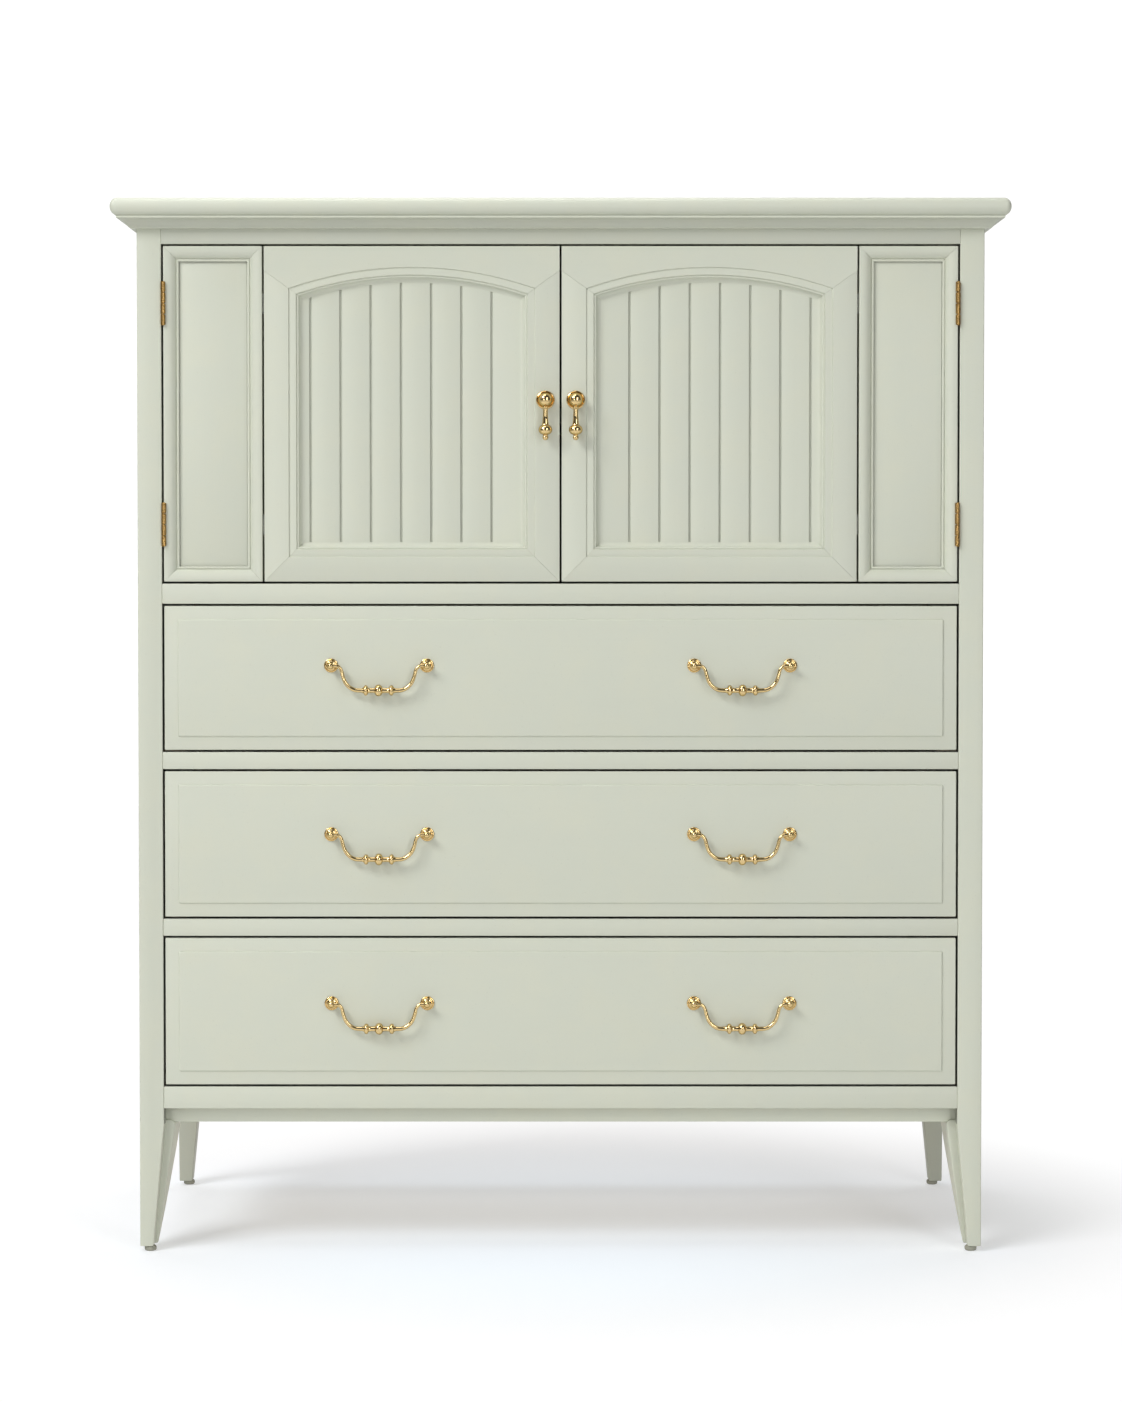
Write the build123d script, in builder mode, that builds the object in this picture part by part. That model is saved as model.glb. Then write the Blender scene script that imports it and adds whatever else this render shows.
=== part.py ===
from build123d import *
from math import cos, radians, sin, sqrt
import os

os.makedirs("parts", exist_ok=True)

# A painted door chest: a cornice over a cupboard with two bi-fold doors, three
# drawers below, and four tapered legs. Millimetres, +Z up, the front faces -Y.
# The origin is the centre of the overall footprint, on the floor.

# ---- Case, overall -----------------------------------------------------------
case_width = 1008.0
case_depth = 457.0
top_overhang = 29.0          # of the top slab, at the front and both sides
slab_thickness = 21.0
cornice_height = 14.0
cornice_top_projection = 21.7
cornice_foot_projection = 7.5
cornice_fillet = 2.8         # flat band at the top of the moulding
cornice_foot_band = 1.6      # flat band at its foot
cornice_cove_step = 1.3      # how far the cove stands in from both bands
cornice_cove_depth = 1.6
bullnose_flat = 0.6          # left between the two roundings of the slab's edge

# ---- Face frame, from the floor up -------------------------------------------
frame_thickness = 19.0
stile_width = 29.0
glide_height = 6.0
glide_radius = 7.2
bottom_rail_foot = 172.0     # height of the bottom rail's lower edge
bottom_rail_height = 26.5
drawer_heights = (176.0, 174.2, 172.0)      # lowest drawer first
drawer_rail_height = 20.6
middle_rail_height = 24.2
door_height = 398.8
top_rail_visible = 17.9      # below the cornice moulding
front_gap = 2.4              # round every door leaf and drawer front

# ---- Case carcass --------------------------------------------------------------
side_thickness = 19.0
back_thickness = 6.0
apron_step = 2.5             # apron face behind the face frame's back
apron_thickness = 19.0
apron_foot = 152.6           # height of the apron's and side panels' lower edge
bottom_thickness = 15.0
floor_thickness = 19.0
dust_thickness = 5.0
shelf_thickness = 19.0
shelf_height = 992.0         # underside
shelf_front_setback = 44.0
shelf_clearance = 1.5
shelf_pin_radius = 3.0
shelf_pin_fit = 0.05
shelf_pin_length = 18.0
shelf_pin_sunk = 8.0
shelf_pin_inset = 60.0       # from the shelf's front and back edges
catch_size = (38.0, 13.0, 30.0)
catch_from_middle = 24.0
catch_clearance = 0.4

# ---- Legs ----------------------------------------------------------------------
front_foot_width = 15.7      # of the tapered post, at the floor
front_leg_width = 41.0
front_leg_foot_width = 19.2
front_leg_depth = 70.0
front_leg_foot_depth = 5.0
front_leg_straight = 32.0    # upper part of the leg that keeps its full depth
front_leg_swell = 5.0        # how far the leg's back bows out between there and the foot
leg_shoulder_radius = 6.0
leg_lip_height = 2.5         # the shoulder's overlap on the apron
rear_leg_width = 28.0
rear_leg_foot_width = 18.0
rear_leg_depth = 38.0
rear_leg_foot_depth = 26.0
glide_inset = 11.6           # glide centre from the case side
front_glide_inset = 8.4      # glide centre from the front
glide_rounding = 1.6

# ---- Door leaves ---------------------------------------------------------------
leaf_thickness = 19.0
side_leaf_width = 117.4
side_moulding_width = 18.5
arched_stile_width = 47.0
arched_flat_width = 29.0     # plain part of the stile, outside the moulding
arch_radius = 422.0
arch_crown_drop = 42.8       # from the leaf's top edge to the opening's crown
panel_depth = 9.5            # panel face behind the leaf's front
panel_groove_height = 5.5
panel_thickness = 5.2
ovolo_lift = 0.6             # the arched moulding ends this far above its panel groove
arched_step_depth = 1.5      # of the band round the arched opening
arched_step_run = 0.4
ovolo_width = 8.2
ovolo_start_depth = 3.2
ovolo_middle = (3.2, 4.6)    # from the opening's edge, and depth
side_flat_width = 3.4
side_slope_middle = (9.8, 1.9)
side_slope_end = (14.4, 6.2)
side_bead_start = (14.9, 7.4)
side_bead_crest = (16.5, 6.1)
side_bead_end = (18.1, 7.6)
side_panel_tongue = 6.0
arched_panel_tongue = 7.0
panel_float = 0.8
edge_ease = 0.8
mitre_gap = 0.1
board_pitch = 36.0
first_board = 34.0           # from the opening's edge at the meeting stile
board_groove_width = 3.2
board_groove_depth = 1.8

# ---- Butt hinges and fold links ------------------------------------------------
hinge_inset = 68.0           # hinge centre from the leaf's top and bottom
hinge_height = 52.4
hinge_plate_thickness = 1.0
hinge_plate_depth = 16.0
hinge_stand_off = 2.0        # pin axis in front of the face frame
hinge_axis_inset = 0.2       # pin axis inside the leaf's edge
knuckle_radius = 2.7
knuckle_count = 4
knuckle_gap = 0.2
hinge_pin_radius = 1.2
hinge_pin_fit = 0.05
hinge_relief = 0.3
fold_link_radius = 7.5       # middle of the crescent, about the fold axis
fold_link_thickness = 2.0
fold_link_height = 24.0
fold_link_fit = 0.3
fold_link_half_angle = 58.0
fold_slot_half_angle = 61.0

# ---- Drawers -------------------------------------------------------------------
drawer_front_thickness = 19.0
field_inset = 16.0
field_rise = 1.5
field_ease = 1.0
drawer_back_clearance = 22.0 # behind the drawer boxes
drawer_box_height = 140.0
drawer_side_thickness = 12.0
drawer_side_clearance = 6.0  # from the face frame opening
drawer_box_lift = 3.0        # box above the lower edge of its front
drawer_bottom_thickness = 6.0
drawer_bottom_lift = 8.0
drawer_groove_depth = 5.0
drawer_groove_fit = 0.2
runner_clearance = 0.4
runner_height = 16.5
runner_width = 35.0
guide_height = 12.0
guide_clearance = 1.0
runner_front_gap = 1.0

# ---- Brass pulls ---------------------------------------------------------------
bail_spacing = 114.3         # between the pivots of one bail
pull_offset = 216.5          # bail's middle from the case's middle
pull_rises = (10.0, 12.0, 15.0)             # pivots above drawer middles, lowest first
bail_stand_off = 11.0        # pivot axis in front of the raised field
bail_drop = 29.3
bail_wire_radius = 1.8
bail_pin_radius = 1.5
bail_pin_fit = 0.05
bail_clearance = 0.3         # between the wire's shoulder and the post's ball
bail_upper_bend = 7.5
bail_lower_bend = 17.0
bail_shoulder = 13.0         # corner of the upper bend, from the pivot
bail_spread = 2.5            # how much further in the lower corner is
bail_ball_radius = 7.0
bail_ball_half_width = 4.1
bail_collar_radius = 6.2
bail_collar_half_width = 2.4
bail_collar_offset = 15.2
bail_grip_radius = 3.1
bail_grip_half_length = 25.0
bail_grip_sink = 0.2         # the grip's ends start this far inside the wire's surface
post_ball_radius = 4.0
post_plate_radius = 8.4
post_plate_thickness = 2.6
post_stem_radius = 2.6
post_stud_radius = 2.0
post_stud_fit = 0.1
bail_pin_seat = 0.5          # each pin's run inside the wire
bail_pin_reach = 1.5         # how far it passes the middle of the post's ball
post_bore_reach = 2.0
drop_from_edge = 16.8        # rosette centre from the leaf's meeting edge
drop_below_top = 182.7
drop_stand_off = 12.0
drop_ball_radius = 8.2
drop_plate_radius = 11.2
drop_plate_thickness = 3.0
drop_plate_rim = 1.2
drop_plate_slope = 1.4
drop_plate_dish = (6.6, 1.9)
drop_plate_boss = 4.6
drop_pin_radius = 1.5
drop_eye_radius = 4.6
drop_eye_thickness = 3.4
drop_neck_height = 7.0
drop_slot_clearance = 0.4
drop_stem_radius = 2.8
drop_stem_flare = 4.5
drop_knob_radius = 8.4
drop_finial_radius = 3.2
drop_levels = (-10.1, -30.3, -42.3, -48.2)      # stem, knob, finial and tip

# ---- Derived places ------------------------------------------------------------
total_depth = case_depth + top_overhang
front_y = top_overhang - total_depth / 2
back_y = total_depth / 2
frame_back_y = front_y + frame_thickness
side_x = case_width / 2
inner_x = side_x - side_thickness
opening_x = side_x - stile_width
panel_back_y = back_y - back_thickness

drawer_feet = []
rail_spans = []
level = bottom_rail_foot + bottom_rail_height
bottom_rail_top = level
for number, height in enumerate(drawer_heights):
    drawer_feet.append(level + front_gap)
    level = level + height + 2 * front_gap
    if number < len(drawer_heights) - 1:
        rail_spans.append((level, level + drawer_rail_height))
        level = level + drawer_rail_height
middle_rail_span = (level, level + middle_rail_height)
door_foot = middle_rail_span[1] + front_gap
door_top = door_foot + door_height
top_rail_foot = door_top + front_gap
cornice_foot = top_rail_foot + top_rail_visible
cornice_top = cornice_foot + cornice_height
overall_height = cornice_top + slab_thickness
apron_y = frame_back_y + apron_step
apron_back_y = apron_y + apron_thickness
bottom_top = bottom_rail_foot + bottom_thickness

leaf_outer_x = -(opening_x - front_gap)
fold_x = leaf_outer_x + side_leaf_width + front_gap / 2
arched_outer_x = fold_x + front_gap / 2
meeting_x = -front_gap / 2
hinge_x = leaf_outer_x + hinge_axis_inset
hinge_y = front_y - hinge_stand_off
hinge_levels = (door_foot + hinge_inset, door_top - hinge_inset)


# ---- Helpers -------------------------------------------------------------------
def save(piece, label):
    """Name a finished piece and write it."""
    piece.part.label = label
    export_step(piece.part, f"parts/{label}.step")


def save_both(piece, name):
    """Write the left-hand piece and its mirror image for the right-hand side."""
    save(piece, f"left_{name}")
    with BuildPart() as twin:
        mirror(piece.part, about=Plane.YZ)
    save(twin, f"right_{name}")


def at_height(z):
    return Plane.XY.offset(z)


def at_front(y):
    """A plane seen from the front: sketch x is X, sketch y is Z, and +amount comes forward."""
    return Plane.XZ.offset(-y)


def at_side(x):
    """A plane seen from the right: sketch x is Y, sketch y is Z."""
    return Plane.YZ.offset(x)


def block(x_span, y_span, z_span, mode=Mode.ADD):
    """A squared length of timber between three pairs of limits."""
    with BuildSketch(at_height(z_span[0])) as section:
        with Locations(((x_span[0] + x_span[1]) / 2, (y_span[0] + y_span[1]) / 2)):
            Rectangle(x_span[1] - x_span[0], y_span[1] - y_span[0])
    extrude(section.sketch, amount=z_span[1] - z_span[0], mode=mode)


def flat_face(plane, points):
    """A straight-sided face."""
    with BuildSketch(plane) as face:
        with BuildLine():
            Polyline(*points, close=True)
        make_face()
    return face.sketch


def rod(plane, radius, length, mode=Mode.ADD, bore=0.0):
    """A round bar, or a tube when it has a bore, standing on a plane's origin."""
    with BuildSketch(plane) as section:
        Circle(radius)
        if bore:
            Circle(bore, mode=Mode.SUBTRACT)
    extrude(section.sketch, amount=length, mode=mode)


# ---- Face frame ----------------------------------------------------------------
with BuildPart() as front_posts:
    post_outline = flat_face(at_front(front_y), [
        (-side_x, glide_height),
        (-side_x, cornice_top),
        (-opening_x, cornice_top),
        (-opening_x, apron_foot),
        (-side_x + front_foot_width, glide_height),
    ])
    extrude(post_outline, amount=-frame_thickness)
    mirror(about=Plane.YZ)
save(front_posts, "front_posts")

face_rails = {
    "top_rail": [(top_rail_foot, cornice_top)],
    "middle_rail": [middle_rail_span],
    "drawer_rails": rail_spans,
    "bottom_rail": [(bottom_rail_foot, bottom_rail_top)],
}
for label, spans in face_rails.items():
    with BuildPart() as face_rail:
        for span in spans:
            block((-opening_x, opening_x), (front_y, frame_back_y), span)
    save(face_rail, label)

# ---- Carcass ---------------------------------------------------------------------
shelf_span_y = (front_y + shelf_front_setback, panel_back_y - shelf_clearance)
pin_places = [shelf_span_y[0] + shelf_pin_inset, shelf_span_y[1] - shelf_pin_inset]
pin_z = shelf_height - shelf_pin_radius

with BuildPart() as side_panels:
    block((-side_x, -inner_x), (frame_back_y, back_y), (apron_foot, cornice_top))
    for pin_y in pin_places:
        hole_plane = Plane(origin=(-inner_x, pin_y, pin_z), z_dir=(-1, 0, 0))
        rod(hole_plane, shelf_pin_radius + shelf_pin_fit, shelf_pin_sunk + shelf_pin_fit, Mode.SUBTRACT)
    mirror(about=Plane.YZ)
save(side_panels, "side_panels")

with BuildPart() as aprons:
    block((-inner_x, inner_x), (apron_y, apron_back_y), (apron_foot, bottom_rail_foot))
    rear_apron_y = panel_back_y - apron_thickness
    block((-inner_x, inner_x), (rear_apron_y, panel_back_y), (apron_foot, bottom_rail_foot))
save(aprons, "aprons")

with BuildPart() as bottom_board:
    block((-inner_x, inner_x), (frame_back_y, panel_back_y), (bottom_rail_foot, bottom_top))
save(bottom_board, "bottom_board")

with BuildPart() as compartment_floor:
    floor_span = (middle_rail_span[1] - floor_thickness, middle_rail_span[1])
    block((-inner_x, inner_x), (frame_back_y, panel_back_y), floor_span)
save(compartment_floor, "compartment_floor")

with BuildPart() as back_panel:
    block((-inner_x, inner_x), (panel_back_y, back_y), (apron_foot, cornice_top))
save(back_panel, "back_panel")

with BuildPart() as shelf:
    shelf_x = inner_x - shelf_clearance
    block((-shelf_x, shelf_x), shelf_span_y, (shelf_height, shelf_height + shelf_thickness))
save(shelf, "shelf")

with BuildPart() as shelf_pins:
    for pin_y in pin_places:
        pin_plane = Plane(origin=(-inner_x - shelf_pin_sunk, pin_y, pin_z), z_dir=(1, 0, 0))
        rod(pin_plane, shelf_pin_radius, shelf_pin_length)
    mirror(about=Plane.YZ)
save(shelf_pins, "shelf_pins")

with BuildPart() as door_catches:
    catch_width, catch_depth, catch_height = catch_size
    block(
        (-catch_from_middle - catch_width / 2, -catch_from_middle + catch_width / 2),
        (frame_back_y + catch_clearance, frame_back_y + catch_depth),
        (top_rail_foot - catch_height / 2, top_rail_foot),
    )
    block(
        (-catch_from_middle - catch_width / 2, -catch_from_middle + catch_width / 2),
        (frame_back_y, frame_back_y + catch_depth),
        (top_rail_foot, top_rail_foot + catch_height / 2),
    )
    mirror(about=Plane.YZ)
save(door_catches, "door_catches")

runner_x = inner_x - runner_width
box_x = opening_x - drawer_side_clearance
with BuildPart() as drawer_runners:
    for foot in drawer_feet:
        runner_top = foot + drawer_box_lift - runner_clearance
        runner_y = (frame_back_y + runner_front_gap, panel_back_y)
        block((-inner_x, -runner_x), runner_y, (runner_top - runner_height, runner_top))
        block((-inner_x, -box_x - guide_clearance), runner_y, (runner_top, runner_top + guide_height))
    mirror(about=Plane.YZ)
save(drawer_runners, "drawer_runners")

with BuildPart() as dust_panels:
    for span in rail_spans:
        dust_foot = (span[0] + span[1] - dust_thickness) / 2
        block((-runner_x, runner_x), (frame_back_y, panel_back_y), (dust_foot, dust_foot + dust_thickness))
save(dust_panels, "dust_panels")

# ---- Legs and glides ---------------------------------------------------------------
with BuildPart() as front_legs:
    leg_face = flat_face(at_front(frame_back_y), [
        (-side_x, glide_height),
        (-side_x, apron_foot + leg_lip_height),
        (-side_x + front_leg_width, apron_foot + leg_lip_height),
        (-side_x + front_leg_foot_width, glide_height),
    ])
    extrude(leg_face, amount=-front_leg_depth)
    shoulder = edges().filter_by(Axis.Y).group_by(Axis.Z)[-1].sort_by(Axis.X)[-1]
    fillet(shoulder, radius=leg_shoulder_radius)
    knee = (frame_back_y + front_leg_depth, apron_foot - front_leg_straight)
    heel = (frame_back_y + front_leg_foot_depth, glide_height)
    with BuildSketch(at_side(-side_x)) as leg_side:
        with BuildLine():
            Polyline(
                heel, (frame_back_y, glide_height),
                (frame_back_y, apron_foot + leg_lip_height), (apron_y, apron_foot + leg_lip_height),
                (apron_y, apron_foot), (frame_back_y + front_leg_depth, apron_foot), knee,
            )
            ThreePointArc(
                knee,
                ((knee[0] + heel[0]) / 2 + front_leg_swell, (knee[1] + heel[1]) / 2 - front_leg_swell),
                heel,
            )
        make_face()
    extrude(leg_side.sketch, amount=front_leg_width, mode=Mode.INTERSECT)
    block((-side_x, -inner_x), (frame_back_y, apron_y), (apron_foot, bottom_rail_foot), Mode.SUBTRACT)
    block(
        (-inner_x, -side_x + front_leg_width),
        (apron_back_y, frame_back_y + front_leg_depth),
        (apron_foot - leg_shoulder_radius, bottom_rail_foot),
    )
    mirror(about=Plane.YZ)
save(front_legs, "front_legs")

with BuildPart() as rear_legs:
    leg_face = flat_face(at_front(back_y), [
        (-side_x, glide_height),
        (-side_x, apron_foot),
        (-side_x + rear_leg_width, apron_foot),
        (-side_x + rear_leg_foot_width, glide_height),
    ])
    extrude(leg_face, amount=rear_leg_depth)
    leg_side = flat_face(at_side(-side_x), [
        (back_y, glide_height),
        (back_y, apron_foot),
        (back_y - rear_leg_depth, apron_foot),
        (back_y - rear_leg_foot_depth, glide_height),
    ])
    extrude(leg_side, amount=rear_leg_width, mode=Mode.INTERSECT)
    mirror(about=Plane.YZ)
save(rear_legs, "rear_legs")

glide_x = side_x - glide_inset
front_glide_y = front_y + front_glide_inset
rear_glide_y = back_y - rear_leg_foot_depth / 2
with BuildPart() as glides:
    for glide_y in (front_glide_y, rear_glide_y):
        rod(Plane(origin=(-glide_x, glide_y, 0)), glide_radius, glide_height)
    fillet(faces().group_by(Axis.Z)[0].edges(), radius=glide_rounding)
    mirror(about=Plane.YZ)
save(glides, "glides")

# ---- Cornice -----------------------------------------------------------------------
with BuildPart() as top_slab:
    slab_x = side_x + top_overhang
    block((-slab_x, slab_x), (-total_depth / 2, back_y), (cornice_top, overall_height))
    rounded = edges().filter_by(Axis.X).group_by(Axis.Y)[0]
    rounded = rounded + edges().filter_by(Axis.Y).group_by(Axis.X)[0]
    rounded = rounded + edges().filter_by(Axis.Y).group_by(Axis.X)[-1]
    fillet(rounded, radius=(slab_thickness - bullnose_flat) / 2)
save(top_slab, "top_slab")


def cornice_section(place):
    """Bands and cove of the moulding; place turns (projection, height) into sketch coordinates."""
    foot = (cornice_foot_projection, cornice_foot)
    foot_band = (cornice_foot_projection, cornice_foot + cornice_foot_band)
    cove_foot = (cornice_foot_projection + cornice_cove_step, foot_band[1])
    top = (cornice_top_projection, cornice_top)
    top_band = (cornice_top_projection, cornice_top - cornice_fillet)
    cove_top = (cornice_top_projection - cornice_cove_step, top_band[1])
    cove_middle = (
        (cove_foot[0] + cove_top[0]) / 2 - cornice_cove_depth,
        (cove_foot[1] + cove_top[1]) / 2 + cornice_cove_depth,
    )
    Polyline(place(*cove_foot), place(*foot_band), place(*foot), place(0, cornice_foot))
    Polyline(place(0, cornice_foot), place(0, cornice_top), place(*top), place(*top_band), place(*cove_top))
    ThreePointArc(place(*cove_top), place(*cove_middle), place(*cove_foot))


def cornice_length(section_plane, place, length, outline):
    """One length of cornice moulding, cut to its mitred outline seen from above."""
    with BuildPart() as length_of_cornice:
        with BuildSketch(section_plane) as section:
            with BuildLine():
                cornice_section(place)
            make_face()
        extrude(section.sketch, amount=length)
        cut = flat_face(at_height(cornice_foot), outline)
        extrude(cut, amount=cornice_height, mode=Mode.INTERSECT)
    return length_of_cornice.part


cornice_x = side_x + cornice_top_projection
cornice_y = front_y - cornice_top_projection
cornice_front = cornice_length(
    at_side(-cornice_x),
    lambda out, z: (front_y - out, z),
    2 * cornice_x,
    [(-cornice_x, cornice_y), (cornice_x, cornice_y), (side_x, front_y), (-side_x, front_y)],
)
cornice_side = cornice_length(
    at_front(back_y),
    lambda out, z: (-side_x - out, z),
    back_y - cornice_y,
    [
        (-cornice_x, cornice_y + mitre_gap),
        (-side_x, front_y + mitre_gap),
        (-side_x, back_y),
        (-cornice_x, back_y),
    ],
)
with BuildPart() as cornice_moulding:
    add(cornice_front)
    add(cornice_side)
    mirror(cornice_side, about=Plane.YZ)
save(cornice_moulding, "cornice_moulding")


# ---- Side leaves ---------------------------------------------------------------------
def side_leaf_section(place):
    """Moulded section of the narrow leaf's frame; place takes (inset from edge, depth)."""
    flat_end = side_flat_width
    inner = side_moulding_width
    groove = inner - side_panel_tongue - panel_float
    groove_back = panel_depth + panel_groove_height
    Polyline(place(flat_end, 0), place(edge_ease, 0), place(0, edge_ease), place(0, leaf_thickness))
    Polyline(place(0, leaf_thickness), place(inner, leaf_thickness), place(inner, groove_back))
    Polyline(place(inner, groove_back), place(groove, groove_back), place(groove, panel_depth))
    Polyline(place(groove, panel_depth), place(inner, panel_depth), place(*side_bead_end))
    ThreePointArc(place(*side_bead_end), place(*side_bead_crest), place(*side_bead_start))
    Line(place(*side_bead_start), place(*side_slope_end))
    ThreePointArc(place(*side_slope_end), place(*side_slope_middle), place(flat_end, 0))


def arched_moulding_line(place):
    """Step, band and ovolo of the arched leaf, from its flat to the panel; inset and depth."""
    flat_end = arched_flat_width
    inner = arched_stile_width
    band_start = (flat_end + arched_step_run, arched_step_depth)
    band_end = (inner - ovolo_width - arched_step_run, arched_step_depth)
    ovolo_start = (inner - ovolo_width, ovolo_start_depth)
    crest = (inner - ovolo_middle[0], ovolo_middle[1])
    Polyline(place(flat_end, 0), place(*band_start), place(*band_end), place(*ovolo_start))
    ThreePointArc(place(*ovolo_start), place(*crest), place(inner, panel_depth - ovolo_lift))


def arched_leaf_section(place):
    """Whole section of the arched leaf's straight members; place takes (inset, depth)."""
    inner = arched_stile_width
    groove = inner - arched_panel_tongue - panel_float
    groove_back = panel_depth + panel_groove_height
    arched_moulding_line(place)
    Polyline(place(inner, panel_depth - ovolo_lift), place(inner, panel_depth), place(groove, panel_depth))
    Polyline(place(groove, panel_depth), place(groove, groove_back), place(inner, groove_back))
    Polyline(place(inner, groove_back), place(inner, leaf_thickness), place(0, leaf_thickness))
    Polyline(place(0, leaf_thickness), place(0, edge_ease), place(edge_ease, 0), place(arched_flat_width, 0))


def upright(section_line, edge_x, inward, outline):
    """A vertical frame member with its outer edge at edge_x, cut to its mitred outline."""
    heights = [z for x, z in outline]
    with BuildPart() as member:
        with BuildSketch(at_height(min(heights))) as section:
            with BuildLine():
                section_line(lambda inset, depth: (edge_x + inward * inset, front_y + depth))
            make_face()
        extrude(section.sketch, amount=max(heights) - min(heights))
        cut = flat_face(at_front(front_y), outline)
        extrude(cut, amount=-leaf_thickness, mode=Mode.INTERSECT)
    return member.part


def crosspiece(section_line, edge_z, inward, outline):
    """A horizontal frame member with its outer edge at edge_z, cut to its mitred outline."""
    places = [x for x, z in outline]
    with BuildPart() as member:
        with BuildSketch(at_side(min(places))) as section:
            with BuildLine():
                section_line(lambda inset, depth: (front_y + depth, edge_z + inward * inset))
            make_face()
        extrude(section.sketch, amount=max(places) - min(places))
        cut = flat_face(at_front(front_y), outline)
        extrude(cut, amount=-leaf_thickness, mode=Mode.INTERSECT)
    return member.part


def fold_slots(leaf_side):
    """Crescent slots for the fold links; leaf_side is -1 in the side leaf, 1 in the arched leaf."""
    slot_half = fold_link_thickness / 2 + fold_link_fit
    for height in hinge_levels:
        foot = height - fold_link_height / 2 - fold_link_fit
        with BuildSketch(Plane(origin=(fold_x, front_y, foot))) as slot:
            reach = 2 * fold_link_radius
            spread = radians(fold_slot_half_angle)
            Circle(fold_link_radius + slot_half)
            Circle(fold_link_radius - slot_half, mode=Mode.SUBTRACT)
            with BuildLine():
                Polyline(
                    (0, 0), (0, reach),
                    (leaf_side * reach * sin(spread), reach),
                    (leaf_side * reach * sin(spread), reach * cos(spread)),
                    close=True,
                )
            make_face(mode=Mode.INTERSECT)
        extrude(slot.sketch, amount=fold_link_height + 2 * fold_link_fit, mode=Mode.SUBTRACT)


def knuckle_notches():
    """Rounded reliefs in the leaf's edge behind the hinge knuckles."""
    for height in hinge_levels:
        foot = height - hinge_height / 2 - hinge_relief
        plane = Plane(origin=(hinge_x, hinge_y, foot))
        rod(plane, knuckle_radius + hinge_relief, hinge_height + 2 * hinge_relief, Mode.SUBTRACT)


side_inner_x = leaf_outer_x + side_leaf_width
moulding = side_moulding_width
with BuildPart() as side_leaf_frame:
    add(upright(side_leaf_section, leaf_outer_x, 1, [
        (leaf_outer_x, door_foot + mitre_gap),
        (leaf_outer_x, door_top - mitre_gap),
        (leaf_outer_x + moulding, door_top - moulding - mitre_gap),
        (leaf_outer_x + moulding, door_foot + moulding + mitre_gap),
    ]))
    add(upright(side_leaf_section, side_inner_x, -1, [
        (side_inner_x, door_foot + mitre_gap),
        (side_inner_x, door_top - mitre_gap),
        (side_inner_x - moulding, door_top - moulding - mitre_gap),
        (side_inner_x - moulding, door_foot + moulding + mitre_gap),
    ]))
    add(crosspiece(side_leaf_section, door_foot, 1, [
        (leaf_outer_x, door_foot),
        (side_inner_x, door_foot),
        (side_inner_x - moulding, door_foot + moulding),
        (leaf_outer_x + moulding, door_foot + moulding),
    ]))
    add(crosspiece(side_leaf_section, door_top, -1, [
        (leaf_outer_x, door_top),
        (side_inner_x, door_top),
        (side_inner_x - moulding, door_top - moulding),
        (leaf_outer_x + moulding, door_top - moulding),
    ]))
    knuckle_notches()
    fold_slots(-1)
save_both(side_leaf_frame, "side_leaf_frame")

panel_front_y = front_y + panel_depth + (panel_groove_height - panel_thickness) / 2
panel_span_y = (panel_front_y, panel_front_y + panel_thickness)
with BuildPart() as side_leaf_panel:
    reach = moulding - side_panel_tongue
    block(
        (leaf_outer_x + reach, side_inner_x - reach),
        panel_span_y,
        (door_foot + reach, door_top - reach),
    )
save_both(side_leaf_panel, "side_leaf_panel")

# ---- Arched leaves -------------------------------------------------------------------
leaf_middle_x = (arched_outer_x + meeting_x) / 2
half_opening = (meeting_x - arched_outer_x) / 2 - arched_stile_width
arch_centre_z = door_top - arch_crown_drop - arch_radius
flat_offset = arched_stile_width - arched_flat_width
spring_z = arch_centre_z + sqrt(arch_radius ** 2 - half_opening ** 2)
outer_spring_z = arch_centre_z + sqrt((arch_radius + flat_offset) ** 2 - (half_opening + flat_offset) ** 2)
mitre_slope = (outer_spring_z - spring_z) / flat_offset
mitre_top_z = spring_z + arched_stile_width * mitre_slope
opening_foot_z = door_foot + arched_stile_width


def arched_stile_outline(edge_x, inward):
    """Stile seen from the front: a square mitre below and the arch's mitre above."""
    return [
        (edge_x, door_foot + mitre_gap),
        (edge_x, mitre_top_z - mitre_gap),
        (edge_x + inward * arched_stile_width, spring_z - mitre_gap),
        (edge_x + inward * arched_stile_width, opening_foot_z + mitre_gap),
    ]


with BuildPart() as arched_leaf_stiles:
    add(upright(arched_leaf_section, arched_outer_x, 1, arched_stile_outline(arched_outer_x, 1)))
    add(upright(arched_leaf_section, meeting_x, -1, arched_stile_outline(meeting_x, -1)))
    fold_slots(1)
    pull_plane = Plane(
        origin=(meeting_x - drop_from_edge, front_y, door_top - drop_below_top), z_dir=(0, 1, 0))
    rod(pull_plane, post_stud_radius + post_stud_fit, leaf_thickness, Mode.SUBTRACT)
save_both(arched_leaf_stiles, "arched_leaf_stiles")

with BuildPart() as arched_leaf_bottom_rail:
    add(crosspiece(arched_leaf_section, door_foot, 1, [
        (arched_outer_x, door_foot),
        (meeting_x, door_foot),
        (meeting_x - arched_stile_width, opening_foot_z),
        (arched_outer_x + arched_stile_width, opening_foot_z),
    ]))
save_both(arched_leaf_bottom_rail, "arched_leaf_bottom_rail")

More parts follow.
